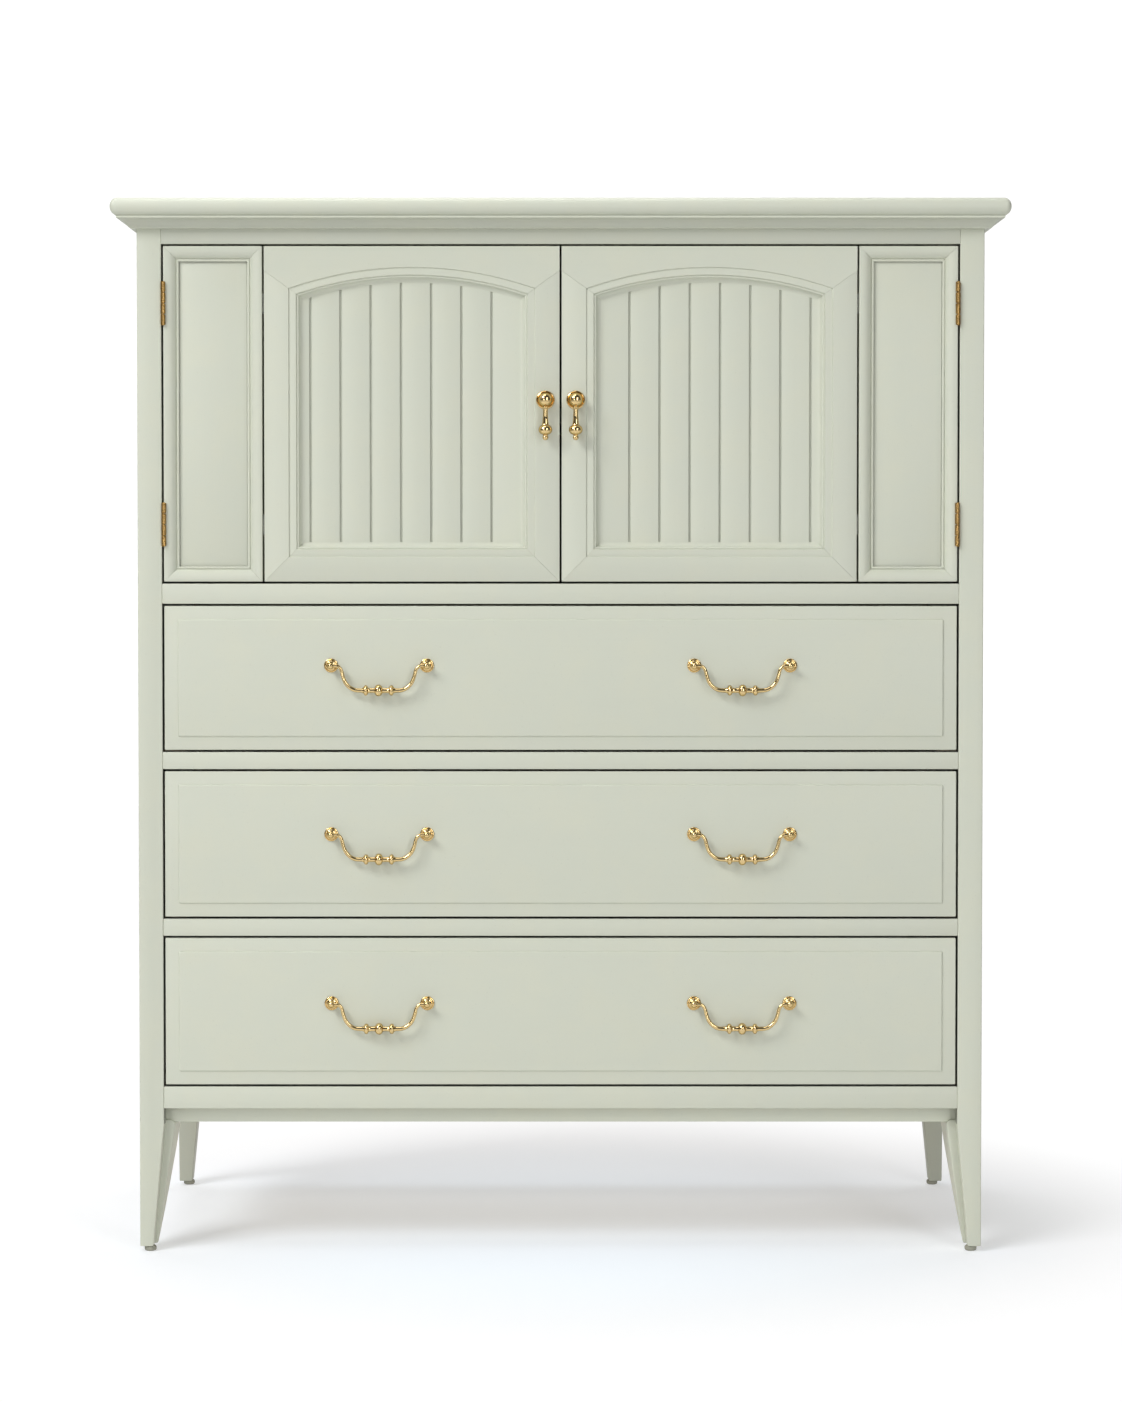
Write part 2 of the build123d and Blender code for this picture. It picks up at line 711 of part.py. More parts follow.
with BuildPart() as arched_leaf_top_rail:
    with BuildSketch(at_front(front_y)) as rail_outline:
        with BuildLine():
            Polyline(
                (leaf_middle_x - half_opening, spring_z), (arched_outer_x, mitre_top_z),
                (arched_outer_x, door_top), (meeting_x, door_top),
                (meeting_x, mitre_top_z), (leaf_middle_x + half_opening, spring_z),
            )
            ThreePointArc(
                (leaf_middle_x + half_opening, spring_z),
                (leaf_middle_x, arch_centre_z + arch_radius),
                (leaf_middle_x - half_opening, spring_z),
            )
        make_face()
    extrude(rail_outline.sketch, amount=-leaf_thickness)
    chamfer(edges().filter_by(Axis.X).group_by(Axis.Y)[0], length=edge_ease)
    arch_plane = Plane(origin=(leaf_middle_x, front_y, arch_centre_z), x_dir=(0, 0, 1), z_dir=(-1, 0, 0))
    arch_axis = Axis((leaf_middle_x, front_y, arch_centre_z), (0, 1, 0))
    clear_r = arch_radius - flat_offset
    clear_depth = -panel_depth
    with BuildSketch(arch_plane) as arch_cut:
        with BuildLine():
            arched_moulding_line(lambda inset, depth: (arch_radius + arched_stile_width - inset, depth))
            Polyline(
                (arch_radius, panel_depth - ovolo_lift), (clear_r, panel_depth - ovolo_lift),
                (clear_r, clear_depth), (arch_radius + flat_offset, clear_depth),
                (arch_radius + flat_offset, 0),
            )
        make_face()
    revolve(arch_cut.sketch, axis=arch_axis, mode=Mode.SUBTRACT)
    with BuildSketch(arch_plane) as arch_groove:
        with Locations((arch_radius, panel_depth + panel_groove_height / 2)):
            Rectangle(2 * (arched_panel_tongue + panel_float), panel_groove_height)
    revolve(arch_groove.sketch, axis=arch_axis, mode=Mode.SUBTRACT)
    fold_slots(1)
save_both(arched_leaf_top_rail, "arched_leaf_top_rail")

with BuildPart() as beadboard:
    reach_x = half_opening + arched_panel_tongue
    reach_r = arch_radius + arched_panel_tongue
    shoulder_z = arch_centre_z + sqrt(reach_r ** 2 - reach_x ** 2)
    board_foot_z = opening_foot_z - arched_panel_tongue
    with BuildSketch(at_front(panel_front_y)) as board_outline:
        with BuildLine():
            Polyline(
                (leaf_middle_x - reach_x, shoulder_z), (leaf_middle_x - reach_x, board_foot_z),
                (leaf_middle_x + reach_x, board_foot_z), (leaf_middle_x + reach_x, shoulder_z),
            )
            ThreePointArc(
                (leaf_middle_x + reach_x, shoulder_z),
                (leaf_middle_x, arch_centre_z + reach_r),
                (leaf_middle_x - reach_x, shoulder_z),
            )
        make_face()
    extrude(board_outline.sketch, amount=-panel_thickness)
    groove_x = leaf_middle_x + half_opening - first_board
    while groove_x > leaf_middle_x - half_opening:
        vee = flat_face(at_height(board_foot_z), [
            (groove_x - board_groove_width / 2, panel_front_y),
            (groove_x + board_groove_width / 2, panel_front_y),
            (groove_x, panel_front_y + board_groove_depth),
        ])
        extrude(vee, amount=door_top - board_foot_z, mode=Mode.SUBTRACT)
        groove_x = groove_x - board_pitch
save_both(beadboard, "beadboard")

# ---- Hinges ------------------------------------------------------------------------
segment = hinge_height / knuckle_count


def hinge_half(plate_x, plate_y, first_knuckle, back_y_limit):
    """Plates and knuckles of one half of both hinges, with clearance round the other half's knuckles."""
    for height in hinge_levels:
        foot = height - hinge_height / 2
        block(plate_x, (front_y, back_y_limit), (foot, foot + hinge_height))
        for number in range(knuckle_count):
            low = foot + number * segment
            own = number % 2 == first_knuckle
            if own:
                inner = (low + knuckle_gap / 2, low + segment - knuckle_gap / 2)
                block(plate_x, (plate_y, front_y + knuckle_radius), inner)
                plane = Plane(origin=(hinge_x, hinge_y, inner[0]))
                rod(plane, knuckle_radius, inner[1] - inner[0])
                rod(plane, hinge_pin_radius + hinge_pin_fit, inner[1] - inner[0], Mode.SUBTRACT)
            else:
                plane = Plane(origin=(hinge_x, hinge_y, low - knuckle_gap / 2))
                rod(plane, knuckle_radius + hinge_relief, segment + knuckle_gap, Mode.SUBTRACT)


plate_back_y = front_y + hinge_plate_depth
with BuildPart() as case_hinge_halves:
    hinge_half((-opening_x, -opening_x + hinge_plate_thickness), hinge_y, 0, plate_back_y)
    mirror(about=Plane.YZ)
save(case_hinge_halves, "case_hinge_halves")

with BuildPart() as door_hinge_halves:
    door_plate_y = hinge_y + (knuckle_radius + hinge_pin_radius + hinge_pin_fit) / 2
    hinge_half((leaf_outer_x - hinge_plate_thickness, leaf_outer_x), door_plate_y, 1, plate_back_y)
save_both(door_hinge_halves, "door_hinge_halves")

with BuildPart() as hinge_pins:
    for height in hinge_levels:
        plane = Plane(origin=(hinge_x, hinge_y, height - hinge_height / 2))
        rod(plane, hinge_pin_radius, hinge_height)
    mirror(about=Plane.YZ)
save(hinge_pins, "hinge_pins")

with BuildPart() as fold_links:
    for height in hinge_levels:
        with BuildSketch(Plane(origin=(fold_x, front_y, height - fold_link_height / 2))) as crescent:
            reach = 2 * fold_link_radius
            spread = radians(fold_link_half_angle)
            Circle(fold_link_radius + fold_link_thickness / 2)
            Circle(fold_link_radius - fold_link_thickness / 2, mode=Mode.SUBTRACT)
            with BuildLine():
                Polyline(
                    (0, 0),
                    (reach * sin(spread), reach * cos(spread)),
                    (reach * sin(spread), reach),
                    (-reach * sin(spread), reach),
                    (-reach * sin(spread), reach * cos(spread)),
                    close=True,
                )
            make_face(mode=Mode.INTERSECT)
        extrude(crescent.sketch, amount=fold_link_height)
save_both(fold_links, "fold_links")

# ---- Drop pulls ----------------------------------------------------------------------
drop_x = meeting_x - drop_from_edge
drop_y = front_y - drop_stand_off
drop_z = door_top - drop_below_top

with BuildPart() as drop_pull_rosette:
    with BuildSketch(Plane(origin=(drop_x, front_y, drop_z), x_dir=(1, 0, 0), z_dir=(0, 0, 1))) as plate:
        with BuildLine():
            rim = (drop_plate_radius - drop_plate_slope, -drop_plate_thickness)
            boss = (drop_plate_boss, -drop_plate_thickness)
            Polyline((0, 0), (drop_plate_radius, 0), (drop_plate_radius, -drop_plate_rim), rim)
            ThreePointArc(rim, (drop_plate_dish[0], -drop_plate_dish[1]), boss)
            Polyline(boss, (0, -drop_plate_thickness), (0, 0))
        make_face()
    revolve(plate.sketch, axis=Axis((drop_x, front_y, drop_z), (0, 1, 0)))
    eye_foot_x = drop_x - drop_eye_thickness / 2
    eye_plane = Plane(origin=(eye_foot_x, drop_y, drop_z), z_dir=(1, 0, 0))
    block(
        (eye_foot_x, eye_foot_x + drop_eye_thickness),
        (drop_y, front_y - drop_plate_thickness / 2),
        (drop_z - drop_neck_height / 2, drop_z + drop_neck_height / 2),
    )
    rod(eye_plane, drop_eye_radius, drop_eye_thickness)
    rod(eye_plane, drop_pin_radius + bail_pin_fit, drop_eye_thickness, Mode.SUBTRACT)
    rod(Plane(origin=(drop_x, front_y, drop_z), z_dir=(0, 1, 0)), post_stud_radius, leaf_thickness)
save_both(drop_pull_rosette, "drop_pull_rosette")

with BuildPart() as drop_pull:
    stem, knob, finial, tip = drop_levels
    with BuildSketch(Plane(origin=(drop_x, drop_y, drop_z), x_dir=(1, 0, 0), z_dir=(0, -1, 0))) as turned:
        with BuildLine():
            ball_bottom = -sqrt(drop_ball_radius ** 2 - drop_stem_radius ** 2)
            ThreePointArc((0, drop_ball_radius), (drop_ball_radius, 0), (drop_stem_radius, ball_bottom))
            Polyline((drop_stem_radius, ball_bottom), (drop_stem_radius, stem), (drop_stem_flare, knob))
            knob_middle = (drop_knob_radius, (knob + finial) / 2)
            Spline((drop_stem_flare, knob), knob_middle, (drop_stem_flare, finial))
            finial_middle = (drop_finial_radius, (finial + tip) / 2)
            Spline(
                (drop_stem_flare, finial), finial_middle, (0, tip),
                tangents=((drop_finial_radius - drop_stem_flare, (tip - finial) / 2), (-1, 0)),
            )
            Line((0, tip), (0, drop_ball_radius))
        make_face()
    revolve(turned.sketch, axis=Axis((drop_x, drop_y, drop_z), (0, 0, 1)))
    slot_half = drop_eye_thickness / 2 + drop_slot_clearance
    slot_plane = Plane(origin=(drop_x - slot_half, drop_y, drop_z), z_dir=(1, 0, 0))
    rod(slot_plane, drop_eye_radius + drop_slot_clearance, 2 * slot_half, Mode.SUBTRACT)
    block(
        (drop_x - slot_half, drop_x + slot_half),
        (drop_y, drop_y + 2 * drop_ball_radius),
        (drop_z - drop_neck_height / 2 - drop_slot_clearance, drop_z + 2 * drop_ball_radius),
        Mode.SUBTRACT,
    )
    pin_half = slot_half + bail_pin_seat
    pin_plane = Plane(origin=(drop_x - pin_half, drop_y, drop_z), z_dir=(1, 0, 0))
    rod(pin_plane, drop_pin_radius, 2 * pin_half)
save_both(drop_pull, "drop_pull")

# ---- Drawers -------------------------------------------------------------------------
field_y = front_y - field_rise
bail_y = field_y - bail_stand_off
half_bail = bail_spacing / 2
box_front_y = front_y + drawer_front_thickness
box_back_y = panel_back_y - drawer_back_clearance
front_x = opening_x - front_gap


def bail_grip(grip_z, middle_x):
    """The turned middle of a bail: swelling grip, two collars and an oval ball."""
    origin = (middle_x, bail_y, grip_z)
    collar_in = bail_collar_offset - bail_collar_half_width
    collar_out = bail_collar_offset + bail_collar_half_width
    end_radius = bail_wire_radius - bail_grip_sink
    with BuildSketch(Plane(origin=origin, x_dir=(1, 0, 0), z_dir=(0, -1, 0))) as profile:
        with BuildLine():
            Line((-bail_grip_half_length, end_radius), (-collar_out, bail_grip_radius))
            ThreePointArc(
                (-collar_out, bail_grip_radius),
                (-bail_collar_offset, bail_collar_radius), (-collar_in, bail_grip_radius))
            Line((-collar_in, bail_grip_radius), (-bail_ball_half_width, bail_grip_radius))
            Spline(
                (-bail_ball_half_width, bail_grip_radius),
                (0, bail_ball_radius), (bail_ball_half_width, bail_grip_radius))
            Line((bail_ball_half_width, bail_grip_radius), (collar_in, bail_grip_radius))
            ThreePointArc(
                (collar_in, bail_grip_radius),
                (bail_collar_offset, bail_collar_radius), (collar_out, bail_grip_radius))
            Line((collar_out, bail_grip_radius), (bail_grip_half_length, end_radius))
            Polyline(
                (bail_grip_half_length, end_radius), (bail_grip_half_length, 0),
                (-bail_grip_half_length, 0), (-bail_grip_half_length, end_radius),
            )
        make_face()
    revolve(profile.sketch, axis=Axis(origin, (1, 0, 0)))


for number, (foot, height, rise) in enumerate(zip(drawer_feet, drawer_heights, pull_rises)):
    name = f"drawer_{len(drawer_feet) - number}"
    pivot_z = foot + height / 2 + rise
    box_foot = foot + drawer_box_lift
    pivots = [
        (side * pull_offset + end * half_bail, side, end)
        for side in (-1, 1)
        for end in (-1, 1)
    ]

    with BuildPart() as drawer_front:
        block((-front_x, front_x), (front_y, box_front_y), (foot, foot + height))
        chamfer(edges().filter_by(Axis.X).group_by(Axis.Y)[0], length=edge_ease)
        block(
            (-front_x + field_inset, front_x - field_inset),
            (field_y, front_y + field_rise),
            (foot + field_inset, foot + height - field_inset),
        )
        chamfer(faces().sort_by(Axis.Y)[0].edges(), length=field_ease)
        for pivot_x, side, end in pivots:
            stud_plane = Plane(origin=(pivot_x, field_y, pivot_z), z_dir=(0, 1, 0))
            rod(stud_plane, post_stud_radius + post_stud_fit, box_front_y - field_y, Mode.SUBTRACT)
    save(drawer_front, f"{name}_front")

    box_top = box_foot + drawer_box_height
    bottom_foot = box_foot + drawer_bottom_lift
    bottom_face = bottom_foot + drawer_bottom_thickness
    side_inner_face = box_x - drawer_side_thickness
    with BuildPart() as drawer_box:
        block((-box_x, -side_inner_face), (box_front_y, box_back_y), (box_foot, box_top))
        block(
            (-side_inner_face - drawer_groove_depth, -side_inner_face),
            (box_front_y, box_back_y),
            (bottom_foot - drawer_groove_fit / 2, bottom_face + drawer_groove_fit / 2),
            Mode.SUBTRACT,
        )
        mirror(about=Plane.YZ)
        block(
            (-side_inner_face + mitre_gap, side_inner_face - mitre_gap),
            (box_back_y - drawer_side_thickness, box_back_y),
            (bottom_face, box_top),
        )
    save(drawer_box, f"{name}_box")

    with BuildPart() as drawer_bottom:
        bottom_x = side_inner_face + drawer_groove_depth - drawer_groove_fit
        block((-bottom_x, bottom_x), (box_front_y, box_back_y), (bottom_foot, bottom_face))
    save(drawer_bottom, f"{name}_bottom")

    with BuildPart() as pull_posts:
        for pivot_x, side, end in pivots:
            plate_plane = Plane(origin=(pivot_x, field_y, pivot_z), z_dir=(0, -1, 0))
            rod(plate_plane, post_plate_radius, post_plate_thickness)
            rod(plate_plane, post_stem_radius, bail_stand_off)
            with Locations((pivot_x, bail_y, pivot_z)):
                Sphere(post_ball_radius)
            stud_plane = Plane(origin=(pivot_x, field_y, pivot_z), z_dir=(0, 1, 0))
            rod(stud_plane, post_stud_radius, box_front_y - field_y)
            bore_plane = Plane(origin=(pivot_x + end * post_bore_reach, bail_y, pivot_z), z_dir=(-end, 0, 0))
            rod(bore_plane, bail_pin_radius + bail_pin_fit, 2 * post_ball_radius, Mode.SUBTRACT)
    save(pull_posts, f"{name}_pull_posts")

    for side, side_name in ((-1, "left"), (1, "right")):
        middle_x = side * pull_offset
        wire_start = half_bail - post_ball_radius - bail_clearance
        shoulder_x = half_bail - bail_shoulder
        lower_x = shoulder_x - bail_spread
        with BuildPart() as bail:
            front_plane = Plane(origin=(middle_x, bail_y, pivot_z), x_dir=(1, 0, 0), z_dir=(0, -1, 0))
            with BuildLine(front_plane) as wire_path:
                FilletPolyline(
                    (-wire_start, 0), (-shoulder_x, 0), (-lower_x, -bail_drop),
                    (lower_x, -bail_drop), (shoulder_x, 0), (wire_start, 0),
                    radius=[bail_upper_bend, bail_lower_bend, bail_lower_bend, bail_upper_bend],
                )
            wire_plane = Plane(origin=(middle_x - wire_start, bail_y, pivot_z), z_dir=(1, 0, 0))
            with BuildSketch(wire_plane) as wire_section:
                Circle(bail_wire_radius)
            sweep(wire_section.sketch, path=wire_path.wires()[0])
            bail_grip(pivot_z - bail_drop, middle_x)
            for end in (-1, 1):
                pin_start = wire_start - bail_pin_seat
                pin_plane = Plane(origin=(middle_x + end * pin_start, bail_y, pivot_z), z_dir=(end, 0, 0))
                rod(pin_plane, bail_pin_radius, half_bail + bail_pin_reach - pin_start)
        save(bail, f"{name}_{side_name}_bail")
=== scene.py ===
import math

import bmesh
import bpy
from mathutils import Matrix, Vector


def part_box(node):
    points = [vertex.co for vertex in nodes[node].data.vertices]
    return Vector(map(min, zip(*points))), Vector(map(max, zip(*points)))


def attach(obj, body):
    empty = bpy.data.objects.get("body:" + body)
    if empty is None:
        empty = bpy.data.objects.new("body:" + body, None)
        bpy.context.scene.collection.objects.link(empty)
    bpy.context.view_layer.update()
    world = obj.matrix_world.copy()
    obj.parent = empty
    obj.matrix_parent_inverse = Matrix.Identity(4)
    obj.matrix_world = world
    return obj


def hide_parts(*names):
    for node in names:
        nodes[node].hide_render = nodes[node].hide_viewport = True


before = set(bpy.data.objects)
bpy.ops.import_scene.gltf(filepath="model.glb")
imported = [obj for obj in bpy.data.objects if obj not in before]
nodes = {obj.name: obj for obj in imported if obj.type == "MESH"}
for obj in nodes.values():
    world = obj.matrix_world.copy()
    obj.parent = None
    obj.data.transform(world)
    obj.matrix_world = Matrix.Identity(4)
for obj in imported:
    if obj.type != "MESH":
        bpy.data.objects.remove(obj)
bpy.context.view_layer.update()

MM = 0.001
EASE = 1.3 * MM
BOARD = 19 * MM
SIDES = ("left", "right")
DRAWERS = ("drawer_1", "drawer_2", "drawer_3")


# ---- Finishes ------------------------------------------------------------------
class Value:
    """A socket of a finish's nodes that takes part in arithmetic."""

    def __init__(self, finish, socket):
        self.finish = finish
        self.socket = socket

    def worked(self, operation, first, second):
        return self.finish.node("ShaderNodeMath", {"operation": operation}, {0: first, 1: second})

    def __add__(self, other):
        return self.worked("ADD", self, other)

    __radd__ = __add__

    def __sub__(self, other):
        return self.worked("SUBTRACT", self, other)

    def __rsub__(self, other):
        return self.worked("SUBTRACT", other, self)

    def __mul__(self, other):
        return self.worked("MULTIPLY", self, other)

    __rmul__ = __mul__

    def rises(self, low, high):
        """0 below low, 1 above high, smooth between."""
        settings = {"interpolation_type": "SMOOTHSTEP"}
        inputs = {"Value": self, "From Min": low, "From Max": high}
        return self.finish.node("ShaderNodeMapRange", settings, inputs)


class Finish:
    """A procedural material, built node by node."""

    def __init__(self, name):
        self.material = bpy.data.materials.new(name)
        self.material.use_nodes = True
        self.tree = self.material.node_tree
        self.tree.nodes.clear()

    def node(self, kind, settings, inputs, output=0):
        """Add a node: its settings first, then its sockets' values or links."""
        made = self.tree.nodes.new(kind)
        for setting, value in settings.items():
            setattr(made, setting, value)
        for key, value in inputs.items():
            socket = made.inputs[key]
            if isinstance(value, Value):
                self.tree.links.new(value.socket, socket)
            else:
                socket.default_value = value
        return Value(self, made.outputs[output]) if made.outputs else None

    def place(self):
        """Where a point lies on the piece, in metres."""
        return self.node("ShaderNodeTexCoord", {}, {}, "Object")

    def stretched(self, place, scale):
        """A place scaled along each axis; a small number draws a pattern out."""
        return self.node("ShaderNodeMapping", {}, {"Vector": place, "Scale": scale})

    def noise(self, place, scale, detail=2.0, roughness=0.5):
        inputs = {"Vector": place, "Scale": scale, "Detail": detail, "Roughness": roughness}
        return self.node("ShaderNodeTexNoise", {}, inputs)

    def mix(self, factor, first, second):
        settings = {"data_type": "RGBA"}
        return self.node("ShaderNodeMix", settings, {0: factor, 6: first, 7: second}, 2)

    def shaded(self, colour, amount):
        """A colour made lighter or darker by a varying amount."""
        return self.node("ShaderNodeVectorMath", {"operation": "SCALE"}, {0: colour, "Scale": amount})

    def bump(self, height, strength, distance):
        """Relief up to a distance in metres."""
        inputs = {"Height": height, "Strength": strength, "Distance": distance}
        return self.node("ShaderNodeBump", {}, inputs)

    def glow(self, strength):
        return self.node("ShaderNodeEmission", {}, {"Strength": strength})

    def matt(self, colour):
        return self.node("ShaderNodeBsdfDiffuse", {}, {"Color": colour})

    def added(self, first, second):
        return self.node("ShaderNodeAddShader", {}, {0: first, 1: second})

    def blend(self, factor, first, second):
        """The first shader where the factor is 0, the second where it is 1."""
        return self.node("ShaderNodeMixShader", {}, {0: factor, 1: first, 2: second})

    def done(self, shader):
        self.node("ShaderNodeOutputMaterial", {}, {"Surface": shader})
        return self.material

    def surface(self, **inputs):
        """The finished material, from the shader's sockets by name."""
        sockets = {name.replace("_", " "): value for name, value in inputs.items()}
        return self.done(self.node("ShaderNodeBsdfPrincipled", {}, sockets))


# Scales that draw a pattern out along one axis
GRAIN = {"x": (0.03, 1.0, 1.0), "y": (1.0, 0.03, 1.0), "z": (1.0, 1.0, 0.03)}
COOL_SAGE = (0.640, 0.664, 0.560, 1.0)
WARM_SAGE = (0.650, 0.667, 0.552, 1.0)
LIGHT_MAPLE, DARK_MAPLE = (0.64, 0.52, 0.37, 1.0), (0.54, 0.42, 0.28, 1.0)
BRIGHT_BRASS, AGED_BRASS = (0.84, 0.63, 0.31, 1.0), (0.56, 0.37, 0.15, 1.0)
BROWNED_BRASS, DARK_BRASS = (0.50, 0.31, 0.11, 1.0), (0.26, 0.15, 0.05, 1.0)
PALE_ZINC, DULL_ZINC = (0.66, 0.66, 0.63, 1.0), (0.52, 0.52, 0.50, 1.0)
GLIDE_GREY, SCUFFED_GREY = (0.33, 0.33, 0.27, 1.0), (0.42, 0.42, 0.35, 1.0)


def sage_paint(name, grain, shade=1.0):
    """Satin sage paint laid on with a brush along the grain: strokes, patches, peel and a few nibs."""
    finish = Finish(name)
    place = finish.place()
    strokes = finish.noise(finish.stretched(place, GRAIN[grain]), 420.0, 3.0, 0.6)
    broad = finish.noise(place, 3.1, 2.0)
    patches = finish.noise(place, 21.0, 3.0, 0.6)
    peel = finish.noise(place, 1500.0, 1.0)
    nib = finish.noise(place, 620.0, 0.0).rises(0.80, 0.86)
    tone = shade * (0.975 + 0.03 * broad + 0.016 * patches + 0.012 * strokes - 0.07 * nib)
    sage = finish.mix(patches.rises(0.35, 0.75), COOL_SAGE, WARM_SAGE)
    relief = strokes * 0.7 + peel * 0.25 + nib * 0.8
    return finish.surface(
        Base_Color=finish.shaded(sage, tone),
        Roughness=0.36 + 0.10 * strokes + 0.06 * patches,
        Normal=finish.bump(relief, 0.22, 0.00012),
        IOR=1.47,
    )


def timber(name, grain, light, dark, rings=70.0):
    """Sealed bare timber with long grain, pores and rays."""
    finish = Finish(name)
    place = finish.place()
    along = finish.stretched(place, GRAIN[grain])
    figure = finish.noise(along, rings, 4.0, 0.65)
    pores = finish.noise(along, 900.0, 2.0).rises(0.62, 0.72)
    broad = finish.noise(place, 4.0, 2.0)
    body = finish.mix(figure.rises(0.3, 0.72), light, dark)
    tone = 0.94 + 0.12 * broad - 0.16 * pores
    return finish.surface(
        Base_Color=finish.shaded(body, tone),
        Roughness=0.48 + 0.14 * figure,
        Normal=finish.bump(figure * 0.5 - pores, 0.25, 0.0002),
    )


def brass(name, bright, aged, edge, polish, wear):
    """Turned brass with age in patches and fine hairlines; edge tints what it reflects at a glance."""
    finish = Finish(name)
    place = finish.place()
    clouds = finish.noise(place, 140.0, 4.0, 0.62)
    fine = finish.noise(place, 900.0, 2.0)
    hair = finish.noise(finish.stretched(place, (1.0, 1.0, 0.08)), 2600.0, 1.0)
    age = clouds.rises(0.62 - wear, 0.95 - wear)
    return finish.surface(
        Base_Color=finish.mix(age, bright, aged),
        Metallic=1.0,
        Specular_Tint=edge,
        Roughness=polish + 0.16 * age + 0.03 * fine,
        Normal=finish.bump(hair * 0.5 + fine, 0.02, 0.00001),
    )


def plated_steel():
    """Zinc plating: a faint spangle over drawn steel."""
    finish = Finish("zinc_plated_steel")
    place = finish.place()
    spangle = finish.node("ShaderNodeTexVoronoi", {}, {"Vector": place, "Scale": 420.0}, "Distance")
    drawn = finish.noise(finish.stretched(place, GRAIN["x"]), 1800.0, 1.0)
    return finish.surface(
        Base_Color=finish.mix(spangle, DULL_ZINC, PALE_ZINC),
        Metallic=1.0,
        Roughness=0.30 + 0.18 * drawn,
        Normal=finish.bump(drawn, 0.15, 0.00006),
    )


def glide_plastic():
    """Moulded grey nylon, scuffed by the floor."""
    finish = Finish("dark_glide_plastic")
    place = finish.place()
    scuffs = finish.noise(place, 800.0, 3.0, 0.7)
    return finish.surface(
        Base_Color=finish.mix(scuffs.rises(0.55, 0.8), GLIDE_GREY, SCUFFED_GREY),
        Roughness=0.5 + 0.2 * scuffs,
        Normal=finish.bump(scuffs, 0.2, 0.0001),
    )


def floor_paper():
    """Pale floor: shaded near the object, white further off, and dimmer in the light it sends back."""
    finish = Finish("floor_paper")
    place = finish.place()
    grain = finish.noise(place, 30.0, 2.0)
    away = finish.node("ShaderNodeVectorMath", {"operation": "LENGTH"}, {0: place}, "Value")
    # painted light: the floor is bluer near the object, to cancel the warm light bounced from the timber
    # underside
    tint = finish.mix(away.rises(0.15, 0.8), (0.74, 0.82, 0.92, 1.0), (0.75, 0.75, 0.76, 1.0))
    paper = finish.matt(finish.shaded(tint, 0.985 + 0.03 * grain))
    near = finish.added(paper, finish.glow(0.31))
    bounce = finish.added(finish.matt((0.60, 0.60, 0.60, 1.0)), finish.glow(0.30))
    seen = finish.blend(away.rises(0.42, 0.95), near, finish.glow(1.03))
    sent_back = finish.blend(away.rises(1.2, 2.6), bounce, finish.glow(0.45))
    looked_at = finish.node("ShaderNodeLightPath", {}, {}, "Is Camera Ray")
    return finish.done(finish.blend(looked_at, sent_back, seen))


def backdrop_paper():
    """Lit from behind, so it stays white and sends light back over the floor."""
    finish = Finish("backdrop_paper")
    return finish.done(finish.glow(1.1))


paint_upright = sage_paint("sage_paint_upright", "z")
paint_across = sage_paint("sage_paint_across", "x")
# painted shade: a darker sage for the grooves between the boards
paint_groove_shade = sage_paint("sage_paint_groove_shade", "z", 0.70)
# painted shade: a darker sage for the cornice's cove and for the rail in the cornice's shadow
paint_cove_shade = sage_paint("sage_paint_cove_shade", "x", 0.88)
# painted light: a lighter sage for the cornice's fillet and for the aprons, which lie in shade
paint_highlight = sage_paint("sage_paint_highlight", "x", 1.14)
# painted shade: a dark sage for faces that look into the gaps round doors and drawers
paint_gap_shade = sage_paint("sage_paint_gap_shade", "z", 0.38)
# painted shade: a darker sage for the rear legs, which stand in the case's shadow
paint_rear_shade = sage_paint("sage_paint_rear_shade", "z", 0.73)
maple_across = timber("maple_across", "x", LIGHT_MAPLE, DARK_MAPLE)
maple_deep = timber("maple_deep", "y", LIGHT_MAPLE, DARK_MAPLE)
ply_upright = timber("birch_ply_upright", "z", (0.62, 0.48, 0.31, 1.0), (0.52, 0.38, 0.23, 1.0), 24.0)
ply_deep = timber("birch_ply_deep", "y", (0.64, 0.50, 0.33, 1.0), (0.54, 0.40, 0.25, 1.0), 24.0)
polished_brass = brass(
    "polished_brass", BRIGHT_BRASS, AGED_BRASS, edge=(0.20, 0.12, 0.05, 1.0), polish=0.045, wear=0.0)
antique_brass = brass(
    "antique_brass", BROWNED_BRASS, DARK_BRASS, edge=(0.16, 0.10, 0.04, 1.0), polish=0.26, wear=0.12)
zinc_steel = plated_steel()
grey_nylon = glide_plastic()


# ---- Making pieces ---------------------------------------------------------------
def mm(points):
    """Pairs of numbers given in millimetres."""
    return [(first * MM, second * MM) for first, second in points]


def board(low, high, ease, segments=2):
    """A squared board between two opposite corners, with eased edges."""
    made = bmesh.new()
    bmesh.ops.create_cube(made, size=1.0)
    low, high = Vector(low), Vector(high)
    bmesh.ops.scale(made, vec=high - low, verts=made.verts)
    bmesh.ops.translate(made, vec=(low + high) / 2, verts=made.verts)
    if ease:
        ease_edges(made, made.edges[:], ease, segments)
    return made


def ease_edges(made, edges, width, segments=2):
    """Round some edges over, taking the same width off both faces that meet there."""
    bmesh.ops.bevel(
        made, geom=edges, offset=width, offset_type="OFFSET", affect="EDGES",
        segments=segments, profile=0.5, material=-1, clamp_overlap=True,
    )


def prism(outline, along, start, end):
    """An outline in the two other axes, drawn out along one axis."""
    made = bmesh.new()
    place = {
        "x": lambda u, v: (start, u, v),
        "y": lambda u, v: (u, start, v),
        "z": lambda u, v: (u, v, start),
    }[along]
    corners = [made.verts.new(place(u, v)) for u, v in outline]
    face = made.faces.new(corners)
    grown = bmesh.ops.extrude_face_region(made, geom=[face])
    moved = [item for item in grown["geom"] if isinstance(item, bmesh.types.BMVert)]
    travel = {"x": (end - start, 0, 0), "y": (0, end - start, 0), "z": (0, 0, end - start)}[along]
    bmesh.ops.translate(made, vec=travel, verts=moved)
    bmesh.ops.recalc_face_normals(made, faces=made.faces)
    return made


